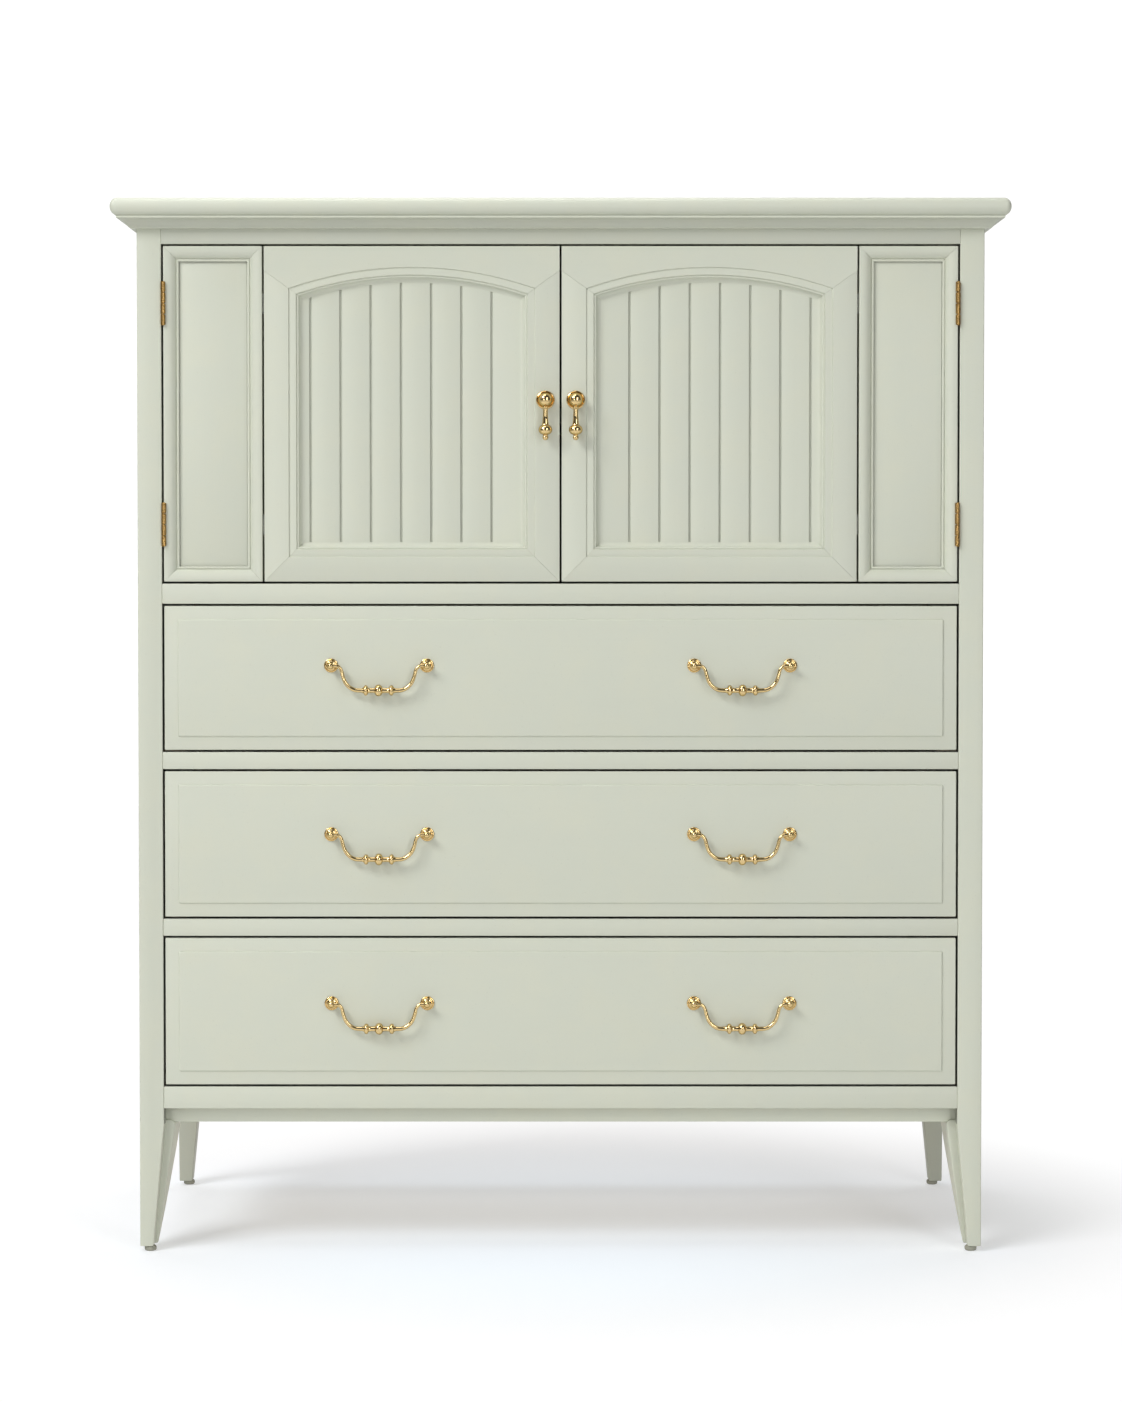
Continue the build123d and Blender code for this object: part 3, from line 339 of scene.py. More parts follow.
def arc(start, middle, end, steps=8):
    """Points on the circle through three points, from the first to the last."""
    (ax, ay), (bx, by), (cx, cy) = start, middle, end
    d = 2 * (ax * (by - cy) + bx * (cy - ay) + cx * (ay - by))
    a2, b2, c2 = ax * ax + ay * ay, bx * bx + by * by, cx * cx + cy * cy
    ux = (a2 * (by - cy) + b2 * (cy - ay) + c2 * (ay - by)) / d
    uy = (a2 * (cx - bx) + b2 * (ax - cx) + c2 * (bx - ax)) / d
    first = math.atan2(ay - uy, ax - ux)
    half = (math.atan2(by - uy, bx - ux) - first + math.pi) % (2 * math.pi) - math.pi
    rest = (math.atan2(cy - uy, cx - ux) - first - half + math.pi) % (2 * math.pi) - math.pi
    radius = math.hypot(ax - ux, ay - uy)
    turn = half + rest
    angles = [first + turn * step / steps for step in range(steps + 1)]
    return [(ux + radius * math.cos(angle), uy + radius * math.sin(angle)) for angle in angles]


def cut(made, point, normal):
    """Saw off what lies in front of a plane and close the cut."""
    everything = made.verts[:] + made.edges[:] + made.faces[:]
    sawn = bmesh.ops.bisect_plane(
        made, geom=everything, dist=1e-7, plane_co=point, plane_no=normal, clear_outer=True)
    rim = [item for item in sawn["geom_cut"] if isinstance(item, bmesh.types.BMEdge)]
    bmesh.ops.edgenet_fill(made, edges=rim)
    bmesh.ops.recalc_face_normals(made, faces=made.faces)
    return made


def turned(profile, centre, axis, steps=40):
    """A turned piece: (radius, distance along the axis) pairs spun round the axis."""
    made = bmesh.new()
    centre = Vector(centre)
    axis = Vector(axis).normalized()
    out = axis.orthogonal().normalized()
    line = [made.verts.new(centre + out * radius + axis * far) for radius, far in profile]
    edges = [made.edges.new(pair) for pair in zip(line, line[1:])]
    bmesh.ops.spin(
        made, geom=line + edges, cent=centre, axis=axis, angle=2 * math.pi, steps=steps, use_merge=True)
    bmesh.ops.remove_doubles(made, verts=made.verts, dist=1e-6)
    bmesh.ops.recalc_face_normals(made, faces=made.faces)
    return made


def wire(points, radii, sides):
    """A bent rod through Bezier points (place, handle before, handle after), with a radius at each."""
    curve = bpy.data.curves.new("wire", "CURVE")
    curve.dimensions = "3D"
    curve.bevel_depth = 1.0
    curve.bevel_resolution = sides // 4 - 1
    curve.resolution_u = 10
    curve.use_fill_caps = True
    spline = curve.splines.new("BEZIER")
    spline.bezier_points.add(len(points) - 1)
    for point, (place, before, after), radius in zip(spline.bezier_points, points, radii):
        point.handle_left_type = "FREE"
        point.handle_right_type = "FREE"
        point.co, point.handle_left, point.handle_right = place, before, after
        point.radius = radius
    holder = bpy.data.objects.new("wire", curve)
    bpy.context.scene.collection.objects.link(holder)
    mesh = bpy.data.meshes.new_from_object(holder.evaluated_get(bpy.context.evaluated_depsgraph_get()))
    made = bmesh.new()
    made.from_mesh(mesh)
    bpy.data.objects.remove(holder)
    bpy.data.curves.remove(curve)
    bpy.data.meshes.remove(mesh)
    bmesh.ops.remove_doubles(made, verts=made.verts, dist=1e-6)
    bmesh.ops.recalc_face_normals(made, faces=made.faces)
    return made


def painted(made, index):
    """Give every face of a part one of the piece's materials."""
    for face in made.faces:
        face.material_index = index
    return made


def gap_shade_faces(made, axis, places):
    """Faces square to an axis at these places face a gap: they take the second paint, darkened as painted
    shade in the gap.
    """
    for face in made.faces:
        at = face.calc_center_median()[axis]
        if abs(face.normal[axis]) > 0.99 and min(abs(at - place) for place in places) < 0.1 * MM:
            face.material_index = 1


def gap_shaded_board(low, high, segments=2):
    """A board whose ends, top and bottom are painted darker, as painted shade in the gaps."""
    made = board(low, high, EASE, segments)
    gap_shade_faces(made, 0, (low[0], high[0]))
    gap_shade_faces(made, 2, (low[2], high[2]))
    return made


def soft(made):
    """Shade a part as one curved surface."""
    for face in made.faces:
        face.smooth = True
    return made


def together(parts):
    """One part made of several."""
    whole = bmesh.new()
    for part in parts:
        mesh = bpy.data.meshes.new("part")
        part.to_mesh(mesh)
        part.free()
        whole.from_mesh(mesh)
        bpy.data.meshes.remove(mesh)
    return whole


def flipped(made):
    """The same part for the other side of the case."""
    bmesh.ops.scale(made, vec=(-1, 1, 1), verts=made.verts)
    bmesh.ops.reverse_faces(made, faces=made.faces)
    return made


def sided(made, side):
    """A part drawn for the left side, on the side asked for."""
    return flipped(made) if side == "right" else made


def both(made):
    """A part and its mirror image across the middle of the case."""
    return together([made.copy(), flipped(made)])


def piece(name, made, body, replaced, materials, angle=32.0):
    """Finish a part: an object at the origin that stands for CAD nodes and rides on a body."""
    mesh = bpy.data.meshes.new(name)
    made.to_mesh(mesh)
    made.free()
    mesh.set_sharp_from_angle(angle=math.radians(angle))
    for material in materials:
        mesh.materials.append(material)
    shown = bpy.data.objects.new(name, mesh)
    bpy.context.scene.collection.objects.link(shown)
    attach(shown, body)
    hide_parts(*replaced)
    return shown


def keep(node, material):
    """A CAD node that is shown as it is, with a better finish."""
    mesh = nodes[node].data
    mesh.materials.clear()
    mesh.materials.append(material)


def middle(low, high):
    return (low + high) / 2


# ---- Case ------------------------------------------------------------------------
post_low, post_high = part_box("front_posts")
side_low, side_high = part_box("side_panels")
front_y = post_low.y
frame_back_y = post_high.y
side_x = post_high.x
opening_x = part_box("top_rail")[1].x
apron_foot = side_low.z
leg_foot = post_low.z
POST_FOOT = 15.7 * MM
LEG_WIDTH = 41 * MM


def front_posts():
    """The front posts, which taper to the floor below the case."""
    post = prism([
        (-side_x, leg_foot), (-side_x, post_high.z), (-opening_x, post_high.z),
        (-opening_x, apron_foot), (-side_x + POST_FOOT, leg_foot),
    ], "y", front_y, frame_back_y)
    edges = [edge for edge in post.edges if edge.calc_face_angle() > 0.5]
    ease_edges(post, edges, EASE, 3)
    # the posts' inner faces are painted darker, as painted shade in the gaps
    gap_shade_faces(post, 0, (-opening_x,))
    piece("face_frame_posts", both(post), "case", ["front_posts"],
          [paint_upright, paint_gap_shade])


def rails():
    """The face frame's crosspieces, and the apron boards behind them."""
    # the rail under the cornice takes the darker paint, as painted shade from the cornice
    piece("cornice_rail", board(*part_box("top_rail"), 0.4 * MM), "case", ["top_rail"],
          [paint_cove_shade])
    for name, node in (("door_rail", "middle_rail"), ("foot_rail", "bottom_rail")):
        piece(name, gap_shaded_board(*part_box(node)), "case", [node],
              [paint_across, paint_gap_shade])
    low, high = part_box("drawer_rails")
    height = 20.6 * MM
    dividers = together([
        gap_shaded_board((low.x, low.y, foot), (high.x, high.y, foot + height))
        for foot in (low.z, high.z - height)
    ])
    piece("drawer_dividers", dividers, "case", ["drawer_rails"],
          [paint_across, paint_gap_shade])
    # the aprons take the lighter paint, as painted light where the bottom rail shades them
    low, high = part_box("aprons")
    boards = together([
        board(low, (high.x, low.y + BOARD, high.z), EASE),
        board((low.x, high.y - BOARD, low.z), high, EASE),
    ])
    piece("apron_boards", boards, "case", ["aprons"], [paint_highlight])


def sides_and_back():
    """The sides, the back and the boards across the case."""
    side = board(side_low, (-side_x + BOARD, side_high.y, side_high.z), 0.7 * MM)
    piece("case_sides", both(side), "case", ["side_panels"], [paint_upright])
    piece("ply_back", board(*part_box("back_panel"), 0.3 * MM), "case", ["back_panel"],
          [ply_upright])
    piece("base_board", board(*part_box("bottom_board"), 0.5 * MM), "case", ["bottom_board"],
          [maple_across])
    piece("cupboard_floor", board(*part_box("compartment_floor"), 0.5 * MM), "case", ["compartment_floor"],
          [paint_across])
    piece("cupboard_shelf", board(*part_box("shelf"), 1.2 * MM, 3), "case", ["shelf"],
          [paint_across])


def runners():
    """An L-shaped runner each side of every drawer, and the dust panels between drawers."""
    low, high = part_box("drawer_runners")
    parts = []
    for drawer in DRAWERS:
        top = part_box(drawer + "_front")[0].z + 2.6 * MM
        parts.append(board((low.x, low.y, top - 16.5 * MM), (low.x + 35 * MM, high.y, top), 0.8 * MM))
        parts.append(board((low.x, low.y, top), (low.x + 15 * MM, high.y, top + 12 * MM), 0.8 * MM))
    piece("drawer_slips", both(together(parts)), "case", ["drawer_runners"], [maple_deep])
    low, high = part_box("dust_panels")
    thick = 5.0 * MM
    panels = together([
        board(low, (high.x, high.y, low.z + thick), 0.3 * MM),
        board((low.x, low.y, high.z - thick), high, 0.3 * MM),
    ])
    piece("dust_boards", panels, "case", ["dust_panels"], [ply_deep])


def shelf_pegs():
    """Four plated pegs with domed ends, half of each in the case's side."""
    low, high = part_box("shelf_pins")
    z = middle(low.z, high.z)
    radius = (high.z - low.z) / 2
    profile = [(0, 0), (radius * 0.8, 0), (radius, 0.5 * MM), (radius, 17.0 * MM)]
    profile += arc((radius, 17.0 * MM), (radius * 0.75, 17.7 * MM), (0, 18.0 * MM), 5)[1:]
    pegs = together([
        soft(turned(profile, (low.x, y, z), (1, 0, 0), 24)) for y in (low.y + radius, high.y - radius)
    ])
    piece("shelf_pegs", both(pegs), "case", ["shelf_pins"], [zinc_steel])


def catches():
    """Spring catches behind the top rail: a housing, a screw flange each end and a rounded tongue."""
    low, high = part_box("door_catches")
    rail_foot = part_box("top_rail")[0].z
    inner = 5.0 * MM
    parts = [
        board((low.x, low.y, rail_foot), (-inner, high.y, high.z), 1.0 * MM),
        board((low.x + 8 * MM, low.y + 1.5 * MM, low.z + 3 * MM),
              (-inner - 8 * MM, high.y - 1.0 * MM, rail_foot), 2.5 * MM, 4),
    ]
    screw_head = mm([(0, -0.4), (1.6, -0.4), (2.6, 0.6), (2.6, 2), (0, 2)])
    for x in (low.x + 4 * MM, -inner - 4 * MM):
        parts.append(turned(screw_head, (x, high.y - 1.2 * MM, rail_foot + 8 * MM), (0, -1, 0), 20))
    piece("spring_catches", both(together(parts)), "case", ["door_catches"],
          [zinc_steel])


def round_shoulder(made, slope_angle, corner):
    """Round the leg's sloped inner side over into the top of its lip, with a fan of small cuts."""
    radius = 6 * MM
    inward = radius * math.tan(slope_angle) + radius / math.cos(slope_angle)
    centre = corner - Vector((inward, 0, radius))
    for step in range(1, 8):
        turn = -slope_angle + (math.pi / 2 + slope_angle) * step / 8
        outward = Vector((math.cos(turn), 0, math.sin(turn)))
        cut(made, centre + outward * radius, outward)


def front_legs():
    """The leg behind each tapered post: a swept back, a sloped inner side, a lip and an inner block."""
    low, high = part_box("front_legs")
    apron_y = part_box("aprons")[0].y
    inner_x = -side_x + BOARD
    corner = Vector((-side_x + LEG_WIDTH, 0, apron_foot + 2.5 * MM))
    foot = 19.2 * MM
    slope_angle = math.atan2(LEG_WIDTH - foot, corner.z - low.z)
    slope = Vector((math.cos(slope_angle), 0, -math.sin(slope_angle)))
    knee = (high.y, apron_foot - 32 * MM)
    heel = (low.y + 5 * MM, low.z)
    bow = (middle(knee[0], heel[0]) + 5 * MM, middle(knee[1], heel[1]) - 5 * MM)
    over = apron_foot + 12 * MM
    outline = [(low.y, low.z), (low.y, over), (high.y, over)] + arc(knee, bow, heel, 10)
    leg = prism(outline, "x", -side_x, -side_x + 1.4 * LEG_WIDTH)
    cut(leg, corner, slope)
    ease_edges(leg, [edge for edge in leg.edges if edge.calc_face_angle() > 0.6], 2.0 * MM, 4)
    round_shoulder(leg, slope_angle, corner)
    cut(leg, (0, 0, apron_foot), (0, 0, 1))
    lip = board((inner_x, low.y, apron_foot - 1 * MM), (corner.x + 3 * MM, apron_y, corner.z), 0)
    cut(lip, corner, slope)
    round_shoulder(lip, slope_angle, corner)
    cut(lip, (0, 0, apron_foot), (0, 0, -1))
    block = board((inner_x, apron_y + BOARD, apron_foot - 3 * MM),
                  (corner.x - 4 * MM, high.y, high.z), 0.6 * MM)
    piece("leg_blocks", both(together([soft(leg), lip, block])), "case", ["front_legs"],
          [paint_upright], 40)


def rear_legs():
    """The rear legs, which taper on their inner and front sides."""
    low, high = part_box("rear_legs")
    width, foot = 31 * MM, 16.5 * MM
    depth, foot_depth = 38 * MM, 26 * MM
    leg = prism([
        (-side_x, low.z), (-side_x, high.z), (-side_x + width, high.z), (-side_x + foot, low.z),
    ], "y", high.y, high.y - depth)
    lean = Vector((0, -(high.z - low.z), foot_depth - depth)).normalized()
    cut(leg, (0, high.y - foot_depth, low.z), lean)
    ease_edges(leg, [edge for edge in leg.edges if edge.calc_face_angle() > 0.6], 1.2 * MM, 3)
    # the rear legs are painted darker, as painted shade under the case
    piece("back_legs", both(leg), "case", ["rear_legs"], [paint_rear_shade])


def glides():
    """Rounded nylon glides under the four feet."""
    low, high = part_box("glides")
    radius = 7.2 * MM
    profile = [(0, 0), (radius - 2.2 * MM, 0)]
    profile += arc((radius - 2.2 * MM, 0), (radius - 0.6 * MM, 0.7 * MM), (radius, 2.2 * MM), 5)[1:]
    profile += [(radius, 4.6 * MM), (radius - 1.2 * MM, high.z), (0, high.z)]
    parts = [
        soft(turned(profile, (low.x + radius, y, 0), (0, 0, 1), 32))
        for y in (low.y + radius, high.y - radius)
    ]
    piece("foot_glides", both(together(parts)), "case", ["glides"], [grey_nylon])


front_posts()
rails()
sides_and_back()
runners()
shelf_pegs()
catches()
front_legs()
rear_legs()
glides()


# ---- Cornice -----------------------------------------------------------------------
NOSE_DEPTH = 9.8 * MM
NOSE_FULLNESS = 2.1
CORNER_RADIUS = 7.0 * MM


def slab_outline(low, high, inset, z):
    """The slab's outline at one height: square at the back, two rounded corners at the front."""
    left, right, front = low.x + inset, high.x - inset, low.y + inset
    radius = max(CORNER_RADIUS - inset, 0.8 * MM)
    turns = [math.radians(15 * step) for step in range(7)]
    corner = [(radius - radius * math.cos(turn), radius - radius * math.sin(turn)) for turn in turns]
    points = [(left, high.y)] + [(left + x, front + y) for x, y in corner]
    points += [(right - x, front + y) for x, y in reversed(corner)] + [(right, high.y)]
    return [(x, y, z) for x, y in points]


def top_slab():
    """The top: a full round nose along the front and both ends."""
    low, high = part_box("top_slab")
    slab = bmesh.new()
    radius = (high.z - low.z) / 2
    levels = []
    for step in range(-10, 11):
        level = math.sin(math.radians(9 * step))
        inset = NOSE_DEPTH * (1 - (1 - abs(level) ** NOSE_FULLNESS) ** (1 / NOSE_FULLNESS))
        outline = slab_outline(low, high, inset, low.z + radius * (1 + level))
        levels.append([slab.verts.new(place) for place in outline])
    slab.faces.new(levels[0])
    slab.faces.new(levels[-1])
    for under, over in zip(levels, levels[1:]):
        for first, second in zip(range(-1, len(under) - 1), range(len(under))):
            slab.faces.new((under[first], under[second], over[second], over[first]))
    bmesh.ops.recalc_face_normals(slab, faces=slab.faces)
    piece("bullnose_top", soft(slab), "case", ["top_slab"], [paint_across], 40)


def cornice_profile():
    """Foot band, cove and top fillet of the moulding: (projection, height above its foot) in mm."""
    return (
        [(0, 0), (6.9, 0), (7.5, 0.5), (7.5, 1.6), (8.8, 1.6)]
        + arc((8.8, 1.6), (13.0, 7.9), (20.4, 11.2), 8)[1:]
        + [(21.4, 11.2), (21.7, 11.6), (21.7, 13.6), (21.4, 14.0), (0, 14.0)]
    )


def cornice():
    """The moulding along the front and both sides, mitred at its corners."""
    low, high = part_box("cornice_moulding")
    profile = mm(cornice_profile())
    reach = max(out for out, up in profile)
    front = prism(
        [(front_y - out, low.z + up) for out, up in profile], "x", -side_x - reach, side_x + reach)
    cut(front, (-side_x, front_y, 0), Vector((-1, 1, 0)).normalized())
    cut(front, (side_x, front_y, 0), Vector((1, 1, 0)).normalized())
    side = prism([(-side_x - out, low.z + up) for out, up in profile], "y", front_y - reach, high.y)
    mitre_gap = 0.12 * MM
    cut(side, (-side_x, front_y + mitre_gap, 0), Vector((1, -1, 0)).normalized())
    moulding = together([painted(front, 1), both(painted(side, 0))])
    # the cove is painted darker as painted shade, and the fillet above it lighter as a painted highlight
    cove_foot, cove_top, fillet_foot = 1.6 * MM, 11.1 * MM, 11.7 * MM
    for face in moulding.faces:
        height = face.calc_center_median().z - low.z
        if cove_foot < height < cove_top:
            face.material_index = 2
        elif height > fillet_foot and abs(face.normal.z) < 0.5:
            face.material_index = 3
    piece("cove_cornice", soft(moulding), "case", ["cornice_moulding"],
          [paint_upright, paint_across, paint_cove_shade, paint_highlight], 30)


top_slab()
cornice()


# ---- Doors -------------------------------------------------------------------------
leaf_low, leaf_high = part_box("left_side_leaf_frame")
arch_low, arch_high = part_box("left_arched_leaf_stiles")
door_foot, door_top = leaf_low.z, leaf_high.z
leaf_back_y = leaf_high.y
outer_x, side_edge_x = leaf_low.x, leaf_high.x
fold_edge_x, meeting_x = arch_low.x, arch_high.x
CRACK = 0.09 * MM  # a painted joint's hairline
LEAF = 19          # a leaf's thickness in mm
FLAT = 29.0        # the flat of the arched leaf's frame, in mm
FRAME = 47.0       # the whole width of that frame, moulding included, in mm


def side_leaf_profile():
    """Narrow leaf's frame: flat, falling hollow-backed slope, bead and quirk; (inset, depth) in mm."""
    return (
        [(0, LEAF), (0, 0.9), (0.25, 0.25), (0.9, 0)]
        + arc((3.2, 0), (9.8, 1.9), (14.3, 6.2), 8)
        + arc((14.9, 7.6), (16.5, 6.1), (18.1, 7.7), 7)
        + [(18.5, 9.6), (18.5, LEAF)]
    )


def arched_leaf_moulding():
    """Step, band tilted outward, step, bead and cove round the arched opening; (inset, depth) in mm."""
    return (
        [(FLAT, 0), (29.25, 0.25), (29.4, 1.35), (29.8, 1.65)]
        + arc((29.8, 1.65), (34.5, 1.0), (38.0, 0.95), 4)[1:]
        + [(38.35, 1.3), (38.5, 2.6)] + arc((38.7, 2.8), (40.0, 2.4), (41.2, 3.2), 5)
        + arc((41.2, 3.2), (42.7, 7.3), (FRAME, 9.5), 8)[1:]
    )


def arched_leaf_profile():
    return [(0, LEAF), (0, 0.9), (0.25, 0.25), (0.9, 0)] + arched_leaf_moulding() + [(FRAME, LEAF)]


def mitred(made, corner, away):
    """Cut an end on the line through a corner of the leaf, leaving a hairline beside its neighbour."""
    normal = Vector(away).normalized()
    return cut(made, Vector(corner) - normal * CRACK, normal)


def stile(profile, edge_x, inward, top, top_slope=1.0):
    """A leaf's upright: the profile drawn up with its outer edge at edge_x, mitred at both ends."""
    outline = [(edge_x + inward * inset * MM, front_y + depth * MM) for inset, depth in profile]
    made = prism(outline, "z", door_foot, top + 4 * MM)
    mitred(made, (edge_x, 0, door_foot), (inward, 0, -1))
    return mitred(made, (edge_x, 0, top), (inward * top_slope, 0, 1))


def crosspiece(profile, edge_z, upward, left_x, right_x):
    """A leaf's rail: the profile drawn across with its outer edge at edge_z, mitred at both ends."""
    outline = [(front_y + depth * MM, edge_z + upward * inset * MM) for inset, depth in profile]
    made = prism(outline, "x", left_x, right_x)
    mitred(made, (left_x, 0, edge_z), (-1, 0, upward))
    return mitred(made, (right_x, 0, edge_z), (1, 0, upward))


def side_leaf(side):
    """The narrow leaf: a mitred frame, painted darker in its quirk as painted shade, round a flat panel.
    """
    profile = side_leaf_profile()
    stiles = [
        stile(profile, edge_x, inward, door_top) for edge_x, inward in ((outer_x, 1), (side_edge_x, -1))
    ]
    crosspieces = [
        crosspiece(profile, edge_z, upward, outer_x, side_edge_x)
        for edge_z, upward in ((door_foot, 1), (door_top, -1))
    ]
    parts = [painted(made, 0) for made in stiles] + [painted(made, 1) for made in crosspieces]
    made = sided(soft(together(parts)), side)
    quirk, quirk_foot = front_y + 7.8 * MM, front_y + 9 * MM
    for face in made.faces:
        if quirk < face.calc_center_median().y < quirk_foot:
            face.material_index = 2
    piece(side + "_side_leaf_mouldings", made, side + "_side_leaf", [side + "_side_leaf_frame"],
          [paint_upright, paint_across, paint_gap_shade], 24)
    low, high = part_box(side + "_side_leaf_panel")
    piece(side + "_side_leaf_flat", board(low, high, 0.3 * MM), side + "_side_leaf",
          [side + "_side_leaf_panel"], [paint_upright])


ARCH_RADIUS = 422 * MM
ARCH_CROWN = 42.8 * MM   # from the leaf's top to the crown of the opening
BAND = (FRAME - FLAT) * MM
leaf_middle_x = middle(fold_edge_x, meeting_x)
opening_half = (meeting_x - fold_edge_x) / 2 - FRAME * MM
arch_centre_z = door_top - ARCH_CROWN - ARCH_RADIUS
spring_z = arch_centre_z + math.sqrt(ARCH_RADIUS ** 2 - opening_half ** 2)
outer_spring_z = arch_centre_z + math.sqrt((ARCH_RADIUS + BAND) ** 2 - (opening_half + BAND) ** 2)
mitre_slope = (outer_spring_z - spring_z) / BAND
mitre_top_z = spring_z + FRAME * MM * mitre_slope


def arched_head():
    """The arched top rail: a flat plate over the arch and the moulding spun along its curve."""
    reach = opening_half + FRAME * MM
    outline = [
        (leaf_middle_x - reach, mitre_top_z), (leaf_middle_x - reach, door_top),
        (leaf_middle_x + reach, door_top), (leaf_middle_x + reach, mitre_top_z),
    ] + arc(
        (leaf_middle_x + opening_half + BAND, outer_spring_z),
        (leaf_middle_x, arch_centre_z + ARCH_RADIUS + BAND),
        (leaf_middle_x - opening_half - BAND, outer_spring_z), 28)
    plate = prism(outline, "y", front_y, leaf_back_y)
    top_edges = [
        edge for edge in plate.edges
        if all(vert.co.z > door_top - 1e-6 and vert.co.y < front_y + 1e-6 for vert in edge.verts)
    ]
    ease_edges(plate, top_edges, EASE, 3)
    moulding = bmesh.new()
    centre = Vector((leaf_middle_x, front_y, arch_centre_z))
    line = [
        moulding.verts.new(centre + Vector((0, depth * MM, ARCH_RADIUS + (FRAME - inset) * MM)))
        for inset, depth in arched_leaf_moulding() + [(FRAME, LEAF), (FLAT, LEAF)]
    ]
    edges = [moulding.edges.new(pair) for pair in zip(line, line[1:] + line[:1])]
    spread = math.radians(21.5)
    bmesh.ops.rotate(
        moulding, cent=centre, matrix=Matrix.Rotation(-spread, 3, "Y"), verts=moulding.verts)
    bmesh.ops.spin(
        moulding, geom=line + edges, cent=centre, axis=(0, 1, 0), angle=2 * spread, steps=36)
    rims = [edge for edge in moulding.edges if edge.is_boundary]
    bmesh.ops.edgenet_fill(moulding, edges=rims)
    bmesh.ops.recalc_face_normals(moulding, faces=moulding.faces)
    for hand in (-1, 1):
        corner = (leaf_middle_x + hand * opening_half, 0, spring_z)
        for made in (moulding, plate):
            mitred(made, corner, (hand * mitre_slope, 0, -1))
    return together([plate, moulding])


def arched_leaf(side):
    """The wide leaf's frame: two stiles, a foot and an arched head."""
    profile = arched_leaf_profile()
    body = side + "_arched_leaf"
    stiles = together([
        stile(profile, edge_x, inward, mitre_top_z, mitre_slope)
        for edge_x, inward in ((fold_edge_x, 1), (meeting_x, -1))
    ])
    piece(body + "_uprights", sided(soft(stiles), side), body, [body + "_stiles"],
          [paint_upright], 24)
    foot = crosspiece(profile, door_foot, 1, fold_edge_x, meeting_x)
    piece(body + "_foot", sided(soft(foot), side), body, [body + "_bottom_rail"],
          [paint_across], 24)
    piece(body + "_head", sided(soft(arched_head()), side), body, [body + "_top_rail"],
          [paint_across], 24)


def boarding(side):
    """Tongue and groove boards: one sheet with rounded V joints, painted darker in the joints as painted
    shade.
    """
    low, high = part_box("left_beadboard")
    pitch, first_board, half, deep = 36 * MM, 34 * MM, 1.6 * MM, 1.8 * MM
    joint = meeting_x - FRAME * MM - first_board
    outline = [(low.x, high.y), (high.x, high.y), (high.x, low.y)]
    joints = []
    while joint > fold_edge_x + FRAME * MM:
        outline += [
            (joint + half + 0.5 * MM, low.y), (joint + half - 0.1 * MM, low.y + 0.25 * MM),
            (joint + 0.25 * MM, low.y + deep), (joint - 0.25 * MM, low.y + deep),
            (joint - half + 0.1 * MM, low.y + 0.25 * MM), (joint - half - 0.5 * MM, low.y),
        ]
        joints.append(joint)
        joint -= pitch
    outline.append((low.x, low.y))
    sheet = prism(outline, "z", low.z, high.z)
    for face in sheet.faces:
        inside = low.y + 0.3 * MM < face.calc_center_median().y < high.y - 1 * MM
        groove = any(abs(face.calc_center_median().x - place) < half for place in joints)
        face.material_index = 1 if inside and groove else 0
    piece(side + "_boarding", sided(sheet, side), side + "_arched_leaf", [side + "_beadboard"],
          [paint_upright, paint_groove_shade])


for side in SIDES:
    side_leaf(side)
    arched_leaf(side)
    boarding(side)


# ---- Butt hinges -------------------------------------------------------------------
pin_low, pin_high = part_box("hinge_pins")
HINGE_TALL = 52.4 * MM
HINGE_PLATE = 1.0 * MM
PIN = 1.2 * MM
KNUCKLE = 2.7 * MM
SEGMENT = HINGE_TALL / 4
hinge_x, hinge_y = pin_low.x + PIN, middle(pin_low.y, pin_high.y)
hinge_feet = (pin_low.z, pin_high.z - HINGE_TALL)


def knuckle(foot):
    """One rolled knuckle with rounded ends, bored for the pin."""
    bore, rounding = PIN + 0.05 * MM, 0.45 * MM
    low, high = foot + 0.5 * MM, foot + SEGMENT - 0.5 * MM
    profile = [
        (bore, low), (KNUCKLE - rounding, low), (KNUCKLE, low + rounding),
        (KNUCKLE, high - rounding), (KNUCKLE - rounding, high), (bore, high), (bore, low),
    ]
    return soft(turned(profile, (hinge_x, hinge_y, 0), (0, 0, 1), 28))


def hinge_halves(plate_x, first):
    """One half of both hinges: plates let into the wood, and every second knuckle from the first."""
    parts = []
    for foot in hinge_feet:
        parts.append(board((plate_x, front_y + 1.5 * MM, foot),
                           (plate_x + HINGE_PLATE, front_y + 16 * MM, foot + HINGE_TALL), 0.25 * MM))
        for number in range(first, 4, 2):
            low, high = foot + number * SEGMENT, foot + (number + 1) * SEGMENT
            parts.append(knuckle(low))
            parts.append(board((plate_x, front_y - 0.5 * MM, low + 0.2 * MM),
                               (plate_x + HINGE_PLATE, front_y + 3 * MM, high - 0.2 * MM), 0.2 * MM))
    return together(parts)


def hinges():
    """Two butt hinges a side: halves on the posts, halves on the doors, and pins; and the fold links."""
    piece("case_hinge_leaves", both(hinge_halves(-opening_x, 0)), "case", ["case_hinge_halves"],
          [antique_brass])
    for side in SIDES:
        door_half = sided(hinge_halves(outer_x - HINGE_PLATE, 1), side)
        piece(side + "_door_hinge_leaves", door_half, side + "_side_leaf", [side + "_door_hinge_halves"],
              [antique_brass])
    pins = []
    chamfer = 0.3 * MM
    for foot in hinge_feet:
        top = foot + HINGE_TALL
        profile = [
            (0, foot), (PIN - chamfer, foot), (PIN, foot + chamfer),
            (PIN, top - chamfer), (PIN - chamfer, top), (0, top),
        ]
        pins.append(soft(turned(profile, (hinge_x, hinge_y, 0), (0, 0, 1), 20)))
    piece("hinge_pins_turned", both(together(pins)), "case", ["hinge_pins"],
          [antique_brass])
    for side in SIDES:
        keep(side + "_fold_links", zinc_steel)


